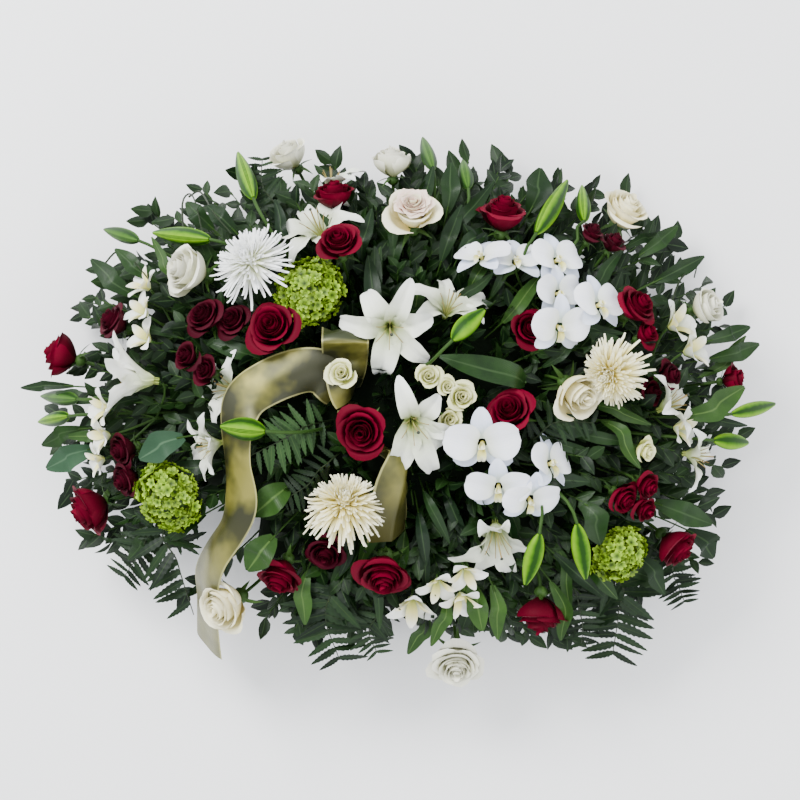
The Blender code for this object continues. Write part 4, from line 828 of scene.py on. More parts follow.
def satin_finish(name, end_dark, end_light, start, full):
    """Satin skin: soft gold and olive drifts, painted highlight and shade over its folds, darker
    at first as painted shade, that turn to the end colours from start to full of its length,
    paler at both edges, and fine threads across as relief."""
    made, tree, shader, places = new_finish(name, 0.40)
    shader.inputs["Anisotropic"].default_value = 0.6
    shader.inputs["Metallic"].default_value = 0.35
    along = wire(tree, "UVMap", uv_map="along").outputs[0]
    split = wire(tree, "SeparateXYZ", {"Vector": along})
    folds = noise(tree, places, 16.0, 3.0)
    # darker over the first part of its length: painted shade
    early_shade = wire(tree, "MapRange", {"Value": split.outputs["Y"], "From Min": 0.15, "From Max": 0.42,
                                    "To Min": -0.08, "To Max": 0.02}).outputs[0]
    # the gold ramp over the noise paints highlight and shade of satin folds, dark olive to light gold
    gold = ramp(tree, reckon(tree, "ADD", folds, early_shade),
                [(0.40, (0.022, 0.023, 0.006)), (0.50, (0.085, 0.082, 0.013)), (0.62, (0.205, 0.185, 0.033))])
    end = ramp(tree, folds, [(0.35, end_dark), (0.70, end_light)])
    far = wire(tree, "MapRange", {"Value": split.outputs["Y"], "From Min": start, "From Max": full})
    both = wire(tree, "Mix", {0: far.outputs[0], 6: gold, 7: end}, data_type="RGBA").outputs[2]
    selvage = wire(tree, "MapRange", {"Value": off_middle(tree, split.outputs["X"]), "From Min": 0.455,
                                      "From Max": 0.475, "To Min": 0.0, "To Max": 0.6}).outputs[0]
    edged = wire(tree, "Mix", {0: selvage, 6: both, 7: (0.40, 0.38, 0.15, 1)}, data_type="RGBA")
    paint(tree, shader, edged.outputs[2])
    threads = wire(tree, "TexWave", {"Vector": along, "Scale": 60.0, "Distortion": 0.4}, bands_direction="X")
    relief(tree, shader, reckon(tree, "ADD", threads.outputs["Fac"], folds), 0.10, 0.3 * MM)
    return made


# end colours of each strip; the loop's dark end, from about half its length, is painted shade below its crest
satins = {
    "band": satin_finish("band_satin", (0.050, 0.050, 0.012), (0.165, 0.155, 0.036), 0.62, 0.78),
    "loop": satin_finish("loop_satin", (0.012, 0.018, 0.007), (0.040, 0.048, 0.016), 0.49, 0.55),
    "short_tail": satin_finish("short_tail_satin", (0.020, 0.020, 0.006), (0.070, 0.066, 0.014), 0.60, 0.85),
}
# knots of each strip (x, y, lift in cm, tilt, turn, curl in degrees), its rows and crease
strips = {
    "band": ([
        (-7.2, 2.6, -2.2, 55, 122, 20), (-9.6, 4.6, -0.8, 28, 120, 20), (-12.6, 4.9, 0.0, 8, 116, 24),
        (-16.6, 3.6, 0.3, -4, 124, 24), (-19.8, 1.4, 0.4, -16, 146, 26), (-21.0, -2.2, 0.6, -42, 174, 26),
        (-21.0, -6.6, 0.8, -54, 182, 26), (-20.6, -11.4, 1.0, -50, 184, 24),
        (-21.8, -15.0, 1.0, -56, 170, 20), (-24.0, -18.6, 0.8, -56, 164, 18),
        (-25.4, -22.6, -0.4, -50, 170, 18), (-25.4, -26.4, -1.2, -46, 168, 18),
        (-25.6, -31.4, 0.2, -38, 158, 26),
    ], 110, 0.0),
    "loop": ([
        (-6.2, 1.4, -2.2, 62, 180, 30), (-6.6, 3.8, -0.9, 40, 182, 30), (-6.8, 6.0, -1.2, 14, 180, 24),
        (-6.9, 7.4, 0.4, 2, 180, 16), (-6.9, 8.5, 1.9, 0, 180, 14), (-6.9, 9.9, 1.0, 0, 180, 14),
        (-6.9, 9.6, -1.0, 2, 180, 16), (-6.8, 6.6, -2.6, 14, 180, 24), (-6.4, 2.6, -3.2, 50, 180, 30),
    ], 80, 0.0),
    "short_tail": ([
        (-5.4, 1.0, -3.0, 74, 190, 30), (-4.4, -2.6, -3.6, 74, 205, 30), (-2.0, -4.4, -2.8, 74, 215, 30),
        (0.9, -5.6, -0.8, 80, 196, 16), (0.5, -8.8, 0.6, 52, 190, 14), (-0.4, -12.4, 0.6, 38, 186, 12),
        (-0.9, -16.8, -1.0, 34, 182, 14),
    ], 70, 0.45),
}
ribbon_cloth = []
for name, (knots, rows, crease) in strips.items():
    cloth = ribbon_sheet(knots, rows, crease)
    ribbon_cloth.append(cloth[0, ::2, ::4].reshape(-1, 3))
    made = piece(f"ribbon_{name}", [sheets(cloth, 0.5 * MM)], [satins[name]], "ribbon_satin", "ribbon")
ribbon_cloth = np.concatenate(ribbon_cloth)


# Fern fronds
# Dark leathery fronds: pointed pinnae with toothed edges stand in pairs on a thin rib
# that is pushed into the foam between the flowers.

# height that leaves are kept over, and where the stems start: their share of the way out to
# the head, how far out they start at most, and how high, in metres
LOWEST_LEAF = 0.014
ROOT_SHARE, ROOT_LENGTH, ROOT_WIDTH, ROOT_HEIGHT = 0.42, 0.19, 0.1292, 0.133


def clear_of(points, margin):
    """Points pushed straight out of every ball of room, and kept over the surface."""
    points = points.copy()
    for centre, radius in room:
        away = points - centre
        far = np.linalg.norm(away, axis=-1, keepdims=True)
        inside = far < radius + margin
        points = np.where(inside, centre + away / np.maximum(far, 1e-9) * (radius + margin), points)
    points[..., 2] = np.maximum(points[..., 2], LOWEST_LEAF)
    return points


def in_view(leaves):
    """Leaves that hide neither the ribbon nor a head: their middle isn't over either in the plan."""
    middle = leaves[:, leaves.shape[1] // 2, leaves.shape[2] // 2]
    keep = np.ones(len(middle), bool)
    cloth = [(spot - np.array([0, 0, 5 * MM]), 15 * MM) for spot in ribbon_cloth]
    for centre, radius in cloth + room:
        near = np.hypot(*(middle - centre)[:, :2].T) < radius
        keep &= ~(near & (middle[:, 2] > centre[2]))
    return leaves[keep]


def stem_root(x, y):
    """Start of the stem to a plan point (cm), inside the thicket."""
    return np.array([min(ROOT_LENGTH, max(-ROOT_LENGTH, x * CM * ROOT_SHARE)),
                     min(ROOT_WIDTH, max(-ROOT_WIDTH, y * CM * ROOT_SHARE)), ROOT_HEIGHT])


def blades(base, ahead, side, lengths, halves, rows, cols, widest, blunt, sag, cup):
    """Leaf sheets (leaves, rows, cols, 3): along ahead from base, sagging as v ** 2, their half
    width after the outline, and their edges raised by cup u ** 2."""
    u, v = (a[..., None] for a in grid(rows, cols))
    lengths, halves = (a[:, None, None, None] for a in (lengths, halves))
    base, ahead, side = (a[:, None, None, :] for a in (base, ahead, side))
    half = halves * outline(v, 0.04, 0.94, widest, blunt)
    rise = cup * half * u ** 2 - sag * lengths * v ** 2
    return base + ahead * v * lengths + side * u * half + np.cross(side, ahead) * rise


def fern_parts(ribs, reach, pairs, rng):
    """Parts of a frond: its rib and its pinnae.

    A pinna's length follows sin(pi (0.3 + 0.48 s)) along the rib. Its half width follows the
    outline, cut back by up to a third in seven teeth down each side, and the teeth stand up
    and down in turn."""
    knots = dome(*np.array(ribs).T)
    path = clear_of(smooth_path(np.concatenate([[stem_root(*ribs[0][:2])], knots]), 24), 4 * MM)
    place = np.linspace(6, 22.7, pairs)
    low = place.astype(int)
    foot = path[low] + (path[low + 1] - path[low]) * (place - low)[:, None]
    ahead = unit(path[low + 1] - path[low])
    side = unit(np.cross(ahead, [0, 0, 1.0]))
    share = np.linspace(0, 1, pairs)
    length = reach * CM * np.sin(np.pi * (0.30 + 0.48 * share)) * rng.uniform(0.85, 1.1, (2, pairs))
    feet, length = np.concatenate([foot, foot]), length.ravel()[:, None, None]
    heading = np.concatenate([side, -side]) + 0.35 * np.concatenate([ahead, ahead])
    heading = unit(heading + rng.normal(0, 0.09, (2 * pairs, 3)))
    wide = np.cross([0, 0, 1.0], heading) + rng.normal(0, 0.25, (2 * pairs, 3))
    wide = unit(wide)[:, None, None]
    u, v = grid(22, 5)
    teeth = np.abs((7 * v + 0.25) % 1 - 0.5) * 2
    half = length * 0.145 * outline(v, 0.03, 0.95, 0.6, 0.7, 0.02) * (1 - 0.34 * teeth * u ** 2)
    bow = (-0.16 * v ** 2 * length + 0.10 * half * (teeth - 0.5) + 0.18 * half * u ** 2)[..., None]
    pinnae = feet[:, None, None] + heading[:, None, None] * (v * length)[..., None]
    pinnae = pinnae + wide * (u * half)[..., None] + bow * np.array([0, 0, 1.0])
    pinnae = in_view(clear_of(pinnae, 1 * MM))
    return [tubes(path[None], np.linspace(1.5, 0.6, 24) * MM, 6, 1),
            varied(pinnae, 0.5 * MM, rng)]


fern_skin = leaf_finish("fern_leaf", (0.002, 0.008, 0.002), (0.012, 0.034, 0.008), (0.02, 0.04, 0.01),
                        0.42, 4.0)
bright_fern = leaf_finish("bright_fern_leaf", (0.008, 0.024, 0.006), (0.030, 0.075, 0.018),
                          (0.04, 0.08, 0.02), 0.42, 4.0)
fern_rib = leaf_finish("fern_rib", (0.010, 0.018, 0.006), (0.025, 0.040, 0.014), (0.02, 0.03, 0.01), 0.5)
# knots of the rib (x, y, lift in cm), the longest pinnae in cm, pairs of them, skin
fronds = {
    1: ([(-11.2, -1.8, -1.6), (-14.6, -3.6, 1.4), (-19.0, -5.8, 1.6)], 4.0, 12, bright_fern),
    2: ([(-29.4, -14.4, -2.0), (-28.6, -19.6, 0.4), (-26.8, -26.6, 1.4)], 5.4, 12, fern_skin),
    3: ([(-8.0, -21.6, -3.4), (-9.6, -26.4, -0.6), (-7.9, -32.4, 1.0)], 5.6, 12, fern_skin),
    4: ([(27.6, -21.4, -3.0), (28.6, -26.0, -0.4), (28.0, -32.2, 1.0)], 6.0, 12, fern_skin),
}
rng = np.random.default_rng(29)
for number, (ribs, reach, pairs, skin) in fronds.items():
    piece(f"fern_frond_{number}_leaf", fern_parts(ribs, reach, pairs, rng), [skin, fern_rib], "fern_leaf",
          f"fern_frond_{number}")
parts = []
for ribs, reach in (([(-15.0, 25.0, -3.4), (-17.8, 29.0, -0.6), (-18.2, 33.2, 0.0)], 3.2),
                    ([(15.6, -4.0, -2.5), (19.6, -1.6, -1.0), (24.6, -1.6, 0.4)], 3.4),
                    ([(-8.4, -6.0, -2.5), (-11.6, -9.4, -1.5), (-14.8, -11.4, -1.0)], 3.0),
                    ([(-30.0, -14.0, -2.0), (-33.6, -18.6, 0.0), (-36.4, -22.0, 0.6)], 4.2),
                    ([(-2.0, -24.0, -4.0), (-4.0, -28.4, -1.5), (-3.0, -31.4, 0.0)], 3.2),
                    ([(33.0, -18.0, -4.0), (36.4, -22.4, -1.5), (37.6, -25.4, 0.0)], 3.4),
                    ([(21.0, -21.0, -4.0), (23.6, -27.0, -1.5), (24.0, -31.0, 0.0)], 3.4)):
    parts += fern_parts(ribs, reach, 11, rng)
piece("small_fern_leaves", parts, [fern_skin, fern_rib], "fern_leaf", "greenery")


# Stems and calyces
# Every flower stands on its own green stem in the foam. A rose's stem ends in a swollen
# calyx with five narrow sepals under the head.

SEPALS = 5


def stalk_paths(ends):
    """Paths (stems, 9, 3) from each stem's root to its seat, which they reach along its axis."""
    root = np.stack([stem_root(x, y) for _, _, x, y, _ in ends])
    seat, axis = (np.stack([end[i] for end in ends]) for i in (0, 1))
    far = np.linalg.norm(seat - root, axis=1, keepdims=True)
    bend = seat - axis * np.minimum(0.07, 0.5 * far) - np.array([0, 0, 0.015])
    t = np.linspace(0, 1, 9)[None, :, None]
    return bent(root[:, None], bend[:, None], seat[:, None], t)


paths = stalk_paths(stem_ends)
seats, axes = (np.stack([end[i] for end in stem_ends]) for i in (0, 1))
cup = np.array([end[4] for end in stem_ends])
paths[:, 1:-2] = clear_of(paths[:, 1:-2], 3 * MM)
swell = np.array([-1.1, -0.8, -0.35, 0.05, 0.35])[None, :, None] * cup[:, None, None]
calyx = seats[:, None] + axes[:, None] * swell
sepal_side = unit(np.cross(axes, [0.3, 0.2, 1.0]))
sepal_over = np.cross(axes, sepal_side)
rng = np.random.default_rng(30)
feet, outs = [], []
for k in range(SEPALS):
    a = 2 * math.pi * k / SEPALS
    spread = sepal_side * math.cos(a) + sepal_over * math.sin(a)
    feet.append(seats + spread * cup[:, None] * 0.7)
    outs.append(unit(spread + axes * rng.uniform(-0.5, 0.8, (len(cup), 1))))
roses = np.tile(cup > 5 * MM, SEPALS)
feet, outs = np.concatenate(feet)[roses], np.concatenate(outs)[roses]
sides = unit(np.cross(outs, np.tile(axes, (SEPALS, 1))[roses]))
broad = np.tile(cup, SEPALS)[roses]
sepals = blades(feet, outs, sides, broad * 2.3, broad * 0.30, 6, 5, 0.55, 0.9, 0.25, 0.3)
piece("flower_stems", [tubes(paths, 2.3 * MM, 7),
                       tubes(calyx, cup[:, None] * np.array([0.35, 0.75, 1.0, 0.95, 0.6]), 10),
                       varied(sepals, 0.6 * MM, rng)], [stem_skin], "foliage", "greenery")


# Lily buds
# Fifteen closed lily buds of fresh green on their own stems, three-ribbed and pointed.

def bud_finish(name, furrow, flank, ridge):
    """Bud skin: three waves round it from dark furrow to bright ridge, painted shade and highlight, and
    clouds over them.
    """
    made, tree, shader, places = new_finish(name, 0.5, 0.12)
    split = wire(tree, "SeparateXYZ", {"Vector": wire(tree, "UVMap", uv_map="along").outputs[0]})
    cloud = noise(tree, places, 120.0, 3.0)
    turned = reckon(tree, "MULTIPLY", split.outputs["X"], 6 * math.pi)
    wave = reckon(tree, "MULTIPLY_ADD", reckon(tree, "COSINE", turned), 0.42, 0.16)
    mixed = reckon(tree, "MULTIPLY_ADD", cloud, 0.45, wave)
    paint(tree, shader, ramp(tree, mixed, [(0.05, furrow), (0.45, flank), (0.95, ridge)]))
    relief(tree, shader, mixed, 0.4, 0.6 * MM)
    return made


# the furrow colour is painted shade in the creases, the ridge colour painted highlight
bud_skin = bud_finish("lily_bud", (0.008, 0.040, 0.001), (0.055, 0.165, 0.001), (0.160, 0.320, 0.004))
dark_bud = bud_finish("young_lily_bud", (0.010, 0.035, 0.005), (0.030, 0.085, 0.010), (0.060, 0.140, 0.020))
# tip x, y and base x, y in cm, lift, girth, and whether it is still dark
buds = np.array([
    (-21.3, 33.8, -18.9, 27.3, 1.5, 1.1, 0), (-32.0, 23.0, -24.4, 21.9, 1.5, 1.1, 0),
    (-39.0, 23.8, -34.1, 22.1, 0.5, 0.9, 1), (3.0, 35.9, 4.3, 31.2, 0.0, 0.9, 1),
    (8.2, 32.5, 8.8, 28.6, 0.0, 0.9, 1), (21.8, 29.9, 17.4, 22.6, 1.5, 1.1, 0),
    (23.9, 29.4, 23.8, 24.4, 0.0, 0.9, 0), (10.6, 12.6, 6.6, 8.8, 3.6, 1.2, 0),
    (-22.5, -2.0, -16.9, -2.6, 4.0, 1.35, 0), (-47.3, 1.8, -41.7, 1.4, 0.5, 0.95, 1),
    (-47.7, -1.6, -43.0, -0.8, 0.0, 0.9, 0), (49.5, 0.8, 43.0, -0.5, 0.0, 0.9, 0),
    (45.5, -4.3, 40.5, -3.9, 0.0, 1, 0), (15.9, -22.1, 17.6, -15.6, 3.2, 1.1, 0),
    (23.7, -21.5, 22.4, -14.4, 2.5, 1.1, 0),
])
tips, bases = dome(buds[:, 0], buds[:, 1], buds[:, 4]), dome(buds[:, 2], buds[:, 3], buds[:, 4])
s = np.linspace(0, 1, 16)
spindle = bases[:, None] + (tips - bases)[:, None] * s[None, :, None]
swell = 10.5 * MM * buds[:, 5:6] * np.clip(np.sin(np.pi * (0.06 + 0.90 * s ** 0.85)), 0.03, 1) ** 0.8
bud_stems = stalk_paths([(base, unit(tip - base), base[0] / CM, base[1] / CM, 0)
                         for base, tip in zip(bases, tips)])
bud_stems[:, 1:-1] = clear_of(bud_stems[:, 1:-1], 3 * MM)
dark = buds[:, 6] > 0
rng = np.random.default_rng(31)
piece("lily_buds", [tubes(spindle[~dark], swell[~dark], 18, 0, rng.uniform(0, 1, (~dark).sum()), 0.12),
                    tubes(spindle[dark], swell[dark], 18, 1, rng.uniform(0, 1, dark.sum()), 0.12),
                    tubes(bud_stems, 2.2 * MM, 7, 2)], [bud_skin, dark_bud, stem_skin], "foliage", "greenery")


# Large leaves
# Smooth broad leaves between the flowers: blue-green ones on the left, dark glossy ones
# in the middle and lance-shaped lily leaves round the rim, each on its own stalk.

def arched_leaves(rows_of, rng, rows=13, cols=7):
    """Leaves and stalks for rows (tip x, y, base x, y, width, lift in cm).

    The rib is a smooth path from the thicket over base to tip, which falls by a quarter at
    most, bent clear of the heads and evened out. The half width follows the outline."""
    u, v = (a[0][..., None] for a in grid(rows, cols))
    leaf_sheets, stalks = [], []
    for tip_x, tip_y, base_x, base_y, width, lift in rows_of:
        tip, base = dome(tip_x, tip_y, lift), dome(base_x, base_y, lift - 1.4)
        tip[2] = max(tip[2], base[2] - 0.25 * math.hypot(tip_x - base_x, tip_y - base_y) * CM)
        middle = (tip + base) / 2 + np.array([0, 0, 0.10 * np.linalg.norm(tip - base)])
        path = smooth_path([stem_root(base_x, base_y), base, middle, tip], 31)
        path[1:] = clear_of(path[1:], 3 * MM)
        for _ in range(12):
            path[1:-1] = (path[:-2] + 2 * path[1:-1] + path[2:]) / 4
        side = unit(np.cross(tip - base, [0, 0, 1.0]))
        side = unit(side + np.array([0, 0, rng.uniform(-0.45, 0.45)]))
        rib = smooth_path(path[[10, 15, 20, 25, 30]], rows)[:, None]
        half = width * CM / 2 * outline(v, 0.03, 0.94, 0.8, 0.8, 0.03)
        normal = unit(np.cross(side, np.gradient(rib, axis=0)))
        wave = 0.10 * np.sin(9 * v + rng.uniform(0, 6)) * np.abs(u)
        leaf_sheets.append(rib + side * u * half + normal * half * (0.28 * u ** 2 + wave))
        stalks.append(path[:12])
    return np.stack(leaf_sheets), np.stack(stalks)


# how far the foliage reaches in the plan at every 15 degrees from +X round to +X, in cm
foliage_reach = np.array([45, 46.5, 45, 40, 37, 35, 31, 33, 37, 39.5, 44, 44, 46, 46, 44, 38, 34, 32, 27,
                          30, 35, 40, 44, 43.5, 45])


def reach_at(turn):
    """How far the foliage reaches in cm at each turn from 0 to 2 pi."""
    return np.interp(turn, np.linspace(0, 2 * np.pi, 25), foliage_reach)


dark_leaf = leaf_finish("dark_leaf", (0.003, 0.012, 0.003), (0.015, 0.044, 0.007), (0.03, 0.06, 0.02), 0.32)
mid_leaf = leaf_finish("fresh_leaf", (0.010, 0.032, 0.005), (0.036, 0.090, 0.012), (0.07, 0.13, 0.03), 0.36)
blue_leaf = leaf_finish("blue_green_leaf", (0.016, 0.046, 0.022), (0.036, 0.090, 0.042),
                        (0.06, 0.12, 0.064), 0.5)
# tip x, y, base x, y, width and lift in cm
dark_rows = [
    (5.0, 6.8, 16.6, 3.4, 3.4, 0.0), (25.6, -17.2, 24.0, -12.0, 3.4, 0.5),
    (40.4, -14.8, 33.6, -12.2, 3.2, 0.0), (41.0, -19.4, 38.4, -16.0, 3.6, 0.0),
    (-46.6, -4.6, -41.6, -2.4, 2.4, 0.4), (18.2, 31.4, 17.2, 26.2, 3.6, 0.0),
    (-27.8, 27.0, -24.8, 24.0, 2.4, 0.0), (-24.9, 26.4, -21.6, 23.4, 2.4, 0.4),
    (-40.2, 19.6, -35.0, 15.0, 2.6, 0.0), (-37.0, 20.9, -32.4, 17.0, 2.4, 0.0),
    (-49.6, 2.9, -43.6, 3.2, 1.4, 0.2), (46.8, 8.6, 41.2, 6.8, 2.6, 0.4),
    (45.6, 10.8, 40.4, 9.0, 2.2, 0.4), (36.2, 24.0, 31.6, 20.4, 2.2, 0.0),
    (39.6, 20.0, 33.8, 17.0, 2.2, 0.0), (6.6, 32.0, 6.2, 26.0, 2.6, -0.6),
    (-30.0, -16.8, -25.6, -13.6, 2.4, -0.4), (34.4, -24.0, 31.2, -19.0, 2.4, 0.0),
    (-35.2, -19.4, -31.6, -15.6, 2.4, 0.0), (24.6, -2.6, 18.6, -1.4, 3.2, -1.0),
]
mid_rows = [
    (-19.4, -20.4, -16.4, -16.4, 4.0, 2.4), (-18.8, -13.4, -14.4, -9.8, 3.8, 0.2),
    (44.4, 3.0, 37.4, -0.9, 3.4, 2.0), (10.6, -28.4, 9.4, -22.6, 3.0, 0.0),
    (30.6, -7.4, 26.4, -1.2, 2.0, 0.4), (1.0, -31.7, 3.6, -26.6, 2.2, -2.4),
    (4.0, -30.4, 6.2, -24.4, 2.0, 0.0), (-21.6, -15.0, -18.2, -12.4, 2.6, -0.6),
    (20.8, -29.8, 20.0, -22.6, 2.2, 0.0), (-12.2, -27.6, -12.6, -21.0, 2.4, 0.0),
    (12.6, -29.6, 12.2, -23.0, 2.2, -0.4),
]
blue_rows = [(-33.2, -6.2, -28.2, -3.4, 3.8, 1.8), (-46.0, -7.6, -40.4, -5.0, 3.6, 0.0)]
rng = np.random.default_rng(32)
parts = []
for look, rows_of in enumerate((dark_rows, mid_rows, blue_rows)):
    flat, stalks = arched_leaves(rows_of, rng)
    parts += [varied(flat, 0.8 * MM, rng, look, 0.2), tubes(stalks, 1.2 * MM, 5, 3)]
# lance-shaped leaves all round: where their tips reach in the plan is a share of the foliage's reach
lance_turn = np.linspace(0, 2 * np.pi, 84, endpoint=False) + rng.normal(0, 0.05, 84)
lance_turn = lance_turn[(lance_turn < 3.64) | (lance_turn > 4.20)] % (2 * np.pi)
count = len(lance_turn)
far = reach_at(lance_turn) * rng.uniform(0.55, 1.02, count)
near = far - rng.uniform(5.5, 8.5, count)
foot_turn = lance_turn + rng.normal(0, 0.06, count)
lances = np.stack([far * np.cos(lance_turn), far * np.sin(lance_turn), near * np.cos(foot_turn),
                   near * np.sin(foot_turn), rng.uniform(1.3, 2.3, count),
                   rng.uniform(-3.0, -0.8, count)], -1)
for look, rows_of in enumerate((np.concatenate([lances[::2], lances[1::4]]), lances[3::4])):
    flat, stalks = arched_leaves(rows_of, rng, 9, 5)
    parts += [varied(in_view(flat), 0.8 * MM, rng, look), tubes(stalks[:, ::2], 1.1 * MM, 5, 3)]
piece("greenery_leaves", parts, [dark_leaf, mid_leaf, blue_leaf, stem_skin], "foliage", "greenery")


# Filling twigs
# Twigs of small dark leaves are pushed into every gap, down to the foam and out past the
# rim, over a dense mat of leaves at the middle, painted almost black as the shade among them.

twig_leaf = leaf_finish("twig_leaf", (0.002, 0.008, 0.002), (0.014, 0.040, 0.007), (0.03, 0.06, 0.02), 0.34)
# the mat's near-black colours are painted shade deep under the flowers and leaves
mat_shade_skin = leaf_finish("dense_mat_painted_shade", (0.002, 0.004, 0.002), (0.006, 0.012, 0.004), (0.006, 0.012, 0.004),
                       0.8, gloss=0.05)
# the mat's half length, half width, lowest height and rise in metres, and the points round it
MAT_LENGTH, MAT_WIDTH, MAT_FOOT, MAT_RISE, MAT_SIDES = 0.375, 0.267, 0.036, 0.184, 48
TWIGS, RIM_TWIGS = 300, 105
# middles of the patches without twigs and how far they reach, in cm
BARE_SPOTS, BARE_REACH = ((-20.5, -19.5), (-29.0, -21.0)), 6.5


def twigs(tips, roots, leaves_each, length, half, rng):
    """Twig paths and their leaves in view: each path sags outwards from root to tip, and leaves
    stand alternately to its left and right over its outer two thirds."""
    count = len(tips)
    bend = (tips + roots) / 2 + np.array([0, 0, 0.018]) + rng.normal(0, 6 * MM, (count, 3))
    t = np.linspace(0, 1, 7)[None, :, None]
    path = clear_of(bent(roots[:, None], bend[:, None], tips[:, None], t), 3 * MM)
    s = np.linspace(1.4, 5.95, leaves_each)
    low = s.astype(int)
    base = path[:, low] + (path[:, low + 1] - path[:, low]) * (s - low)[None, :, None]
    onward = unit(path[:, low + 1] - path[:, low])
    up = unit(np.array([0, 0, 1.0]) + rng.normal(0, 0.55, (count, leaves_each, 3)))
    beside = unit(np.cross(onward, up)) * np.where(np.arange(leaves_each) % 2, 1.0, -1.0)[None, :, None]
    out = unit(beside * rng.uniform(0.5, 1.1, (count, leaves_each, 1)) + onward)
    wide = unit(np.cross(out, np.cross(beside, onward)))
    size = rng.uniform(0.75, 1.25, count * leaves_each)
    base, out, wide = (a.reshape(-1, 3) for a in (base, out, wide))
    made = blades(base, out, wide, length * size, half * size, 5, 3, 0.8, 0.9, 0.18, 0.3)
    return path, in_view(clear_of(made, 1.5 * MM))


rng = np.random.default_rng(33)
mat_u, mat_v = np.meshgrid(np.linspace(0, 2 * np.pi, MAT_SIDES, endpoint=False), np.linspace(0, 1, 14))
mat_r = np.interp(mat_v, [0, 0.2, 0.5, 0.8, 1], [0.58, 0.98, 0.92, 0.62, 0.04])
mat_r = mat_r * (1 + 0.05 * np.sin(9 * mat_u + 7 * mat_v))
mat_r = mat_r * (1 - 0.30 * np.exp(-((mat_u - 3.88) / 0.24) ** 2))
mat_path = np.array([0, 0, 1.0]) * (MAT_FOOT + MAT_RISE * np.linspace(0, 1, 14) ** 0.9)[:, None]
mat_part = tubes(mat_path[None], 1.0, MAT_SIDES, 1)
mat_part[0][:] = np.stack([mat_r * MAT_LENGTH * np.cos(mat_u), mat_r * MAT_WIDTH * np.sin(mat_u),
                           np.repeat(mat_path[:, 2:], MAT_SIDES, axis=1)], -1).reshape(-1, 3)
# twigs all over, but for the bare patches at the lower left
k = np.arange(TWIGS)
share, turn = np.sqrt((k + 0.5) / TWIGS), (k * GOLDEN_ANGLE) % (2 * np.pi)
far = reach_at(turn) * share * 0.97
tip_x, tip_y = far * np.cos(turn), far * np.sin(turn)
for x, y in BARE_SPOTS:
    leafy = np.hypot(tip_x - x, tip_y - y) >= BARE_REACH
    tip_x, tip_y = tip_x[leafy], tip_y[leafy]
tips = dome(tip_x, tip_y, rng.uniform(-4.6, -1.2, len(tip_x)))
roots = dome(tip_x * 0.74, tip_y * 0.74, rng.uniform(-9.5, -7.0, len(tip_x)))
path, leaves = twigs(tips, roots, 9, 24 * MM, 7.0 * MM, rng)
# twigs round the rim, thinner at the lower left
rim_turn = np.linspace(0, 2 * np.pi, RIM_TWIGS, endpoint=False) + rng.normal(0, 0.03, RIM_TWIGS)
rim_far = reach_at(rim_turn % (2 * np.pi)) * rng.uniform(0.84, 1.03, RIM_TWIGS)
thin = (rim_turn > 3.62) & (rim_turn < 4.25) & (np.arange(RIM_TWIGS) % 4 > 0)
rim_x, rim_y = (rim_far * np.cos(rim_turn))[~thin], (rim_far * np.sin(rim_turn))[~thin]
rim_tips = np.stack([rim_x * CM, rim_y * CM, rng.uniform(0.030, 0.110, len(rim_x))], -1)
rim_roots = np.stack([rim_x * CM * 0.66, rim_y * CM * 0.66, rng.uniform(0.06, 0.12, len(rim_x))], -1)
rim_path, rim_leaves = twigs(rim_tips, rim_roots, 11, 26 * MM, 8.0 * MM, rng)
# knots of bare twigs: x, y, lift in cm
bare_knots = [
    [(-27.6, 21.0, 1.0), (-28.4, 26.6, 1.6), (-27.8, 28.4, 1.8), (-26.6, 27.0, 1.6), (-25.2, 22.0, 1.0)],
    [(-27.8, 28.0, 1.8), (-26.2, 28.6, 1.8), (-24.0, 25.4, 1.4), (-21.6, 22.6, 0.8)],
    [(-39.6, 18.0, 0.6), (-37.0, 20.8, 1.2), (-34.6, 19.4, 1.0), (-32.0, 16.4, 0.4)],
    [(34.6, 13.0, 0.6), (36.2, 16.8, 1.2), (38.6, 18.8, 1.6), (38.2, 17.2, 1.4)],
]
bare_twigs = np.stack([smooth_path(dome(*np.array(knots).T), 16) for knots in bare_knots])
taper = np.linspace(1.4, 0.7, 7) * MM
piece("filling_twigs", [mat_part, tubes(bare_twigs, np.linspace(1.5, 0.9, 16) * MM, 6, 3),
                        tubes(path, taper, 5, 2), varied(leaves, 0.6 * MM, rng),
                        tubes(rim_path, taper, 5, 2), varied(rim_leaves, 0.6 * MM, rng)],
      [twig_leaf, mat_shade_skin, stem_skin, fern_rib], "foliage", "greenery")


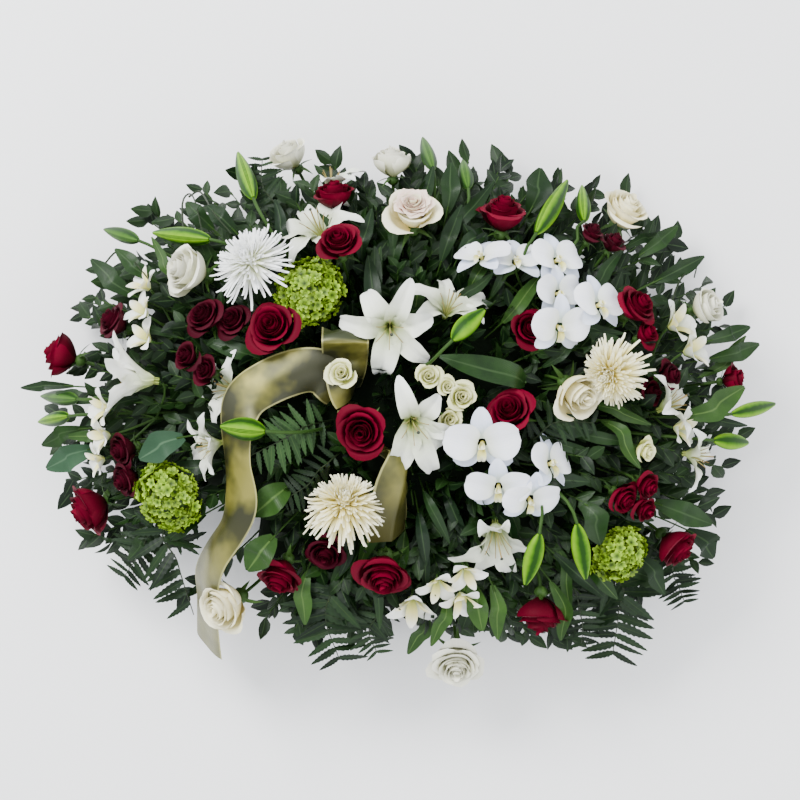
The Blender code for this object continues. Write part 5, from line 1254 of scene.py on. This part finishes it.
# Floor, light and camera
# The spray lies on its tray on a plain pale floor, under two soft studio lights. The camera
# hangs over it and looks straight down.

floor_mesh = bpy.data.meshes.new("floor")
floor_mesh.from_pydata([(-6, -6, 0), (6, -6, 0), (6, 6, 0), (-6, 6, 0)], [], [(0, 1, 2, 3)])
floor = bpy.data.objects.new("floor", floor_mesh)
bpy.context.scene.collection.objects.link(floor)
floor_skin, tree, shader, places = new_finish("pale_floor", 0.8)
shade = noise(tree, places, 3.0, 2.0)
paint(tree, shader, ramp(tree, shade, [(0.3, (0.96, 0.96, 0.96)), (0.7, (0.98, 0.98, 0.98))]))
floor_mesh.materials.append(floor_skin)


def softbox(name, place, target, size, power):
    """Square area light at place, turned to look at target."""
    light = bpy.data.lights.new(name, "AREA")
    light.shape = "SQUARE"
    light.size = size
    light.energy = power
    made = bpy.data.objects.new(name, light)
    bpy.context.scene.collection.objects.link(made)
    x, y, z = np.array(target) - np.array(place)
    made.location = place
    made.rotation_euler = (math.atan2(math.hypot(x, y), -z), 0, math.atan2(-x, y) if math.hypot(x, y) else 0)


softbox("key_light", (-1.6, 1.8, 2.8), (0, 0, 0.1), 1.5, 210)
softbox("fill_light", (2.0, -1.4, 2.6), (0, 0, 0.1), 2.6, 60)
world = bpy.data.worlds.new("studio")
bpy.context.scene.world = world
world.use_nodes = True
sky = world.node_tree.nodes["Background"].inputs
sky["Color"].default_value = (0.93, 0.96, 1.0, 1)
sky["Strength"].default_value = 1.75

# camera height, the height at which the picture is FRAME_WIDTH wide, and how far the
# spray's middle lies below the picture's, all in metres
EYE_HEIGHT, FRAME_HEIGHT, FRAME_WIDTH, SHIFT = 4.2, 0.15, 1.04, 0.013
eye = bpy.data.cameras.new("camera")
eye.sensor_width = 36
eye.lens = eye.sensor_width * (EYE_HEIGHT - FRAME_HEIGHT) / FRAME_WIDTH
camera = bpy.data.objects.new("camera", eye)
camera.location = (0, SHIFT, EYE_HEIGHT)
bpy.context.scene.collection.objects.link(camera)
bpy.context.scene.camera = camera
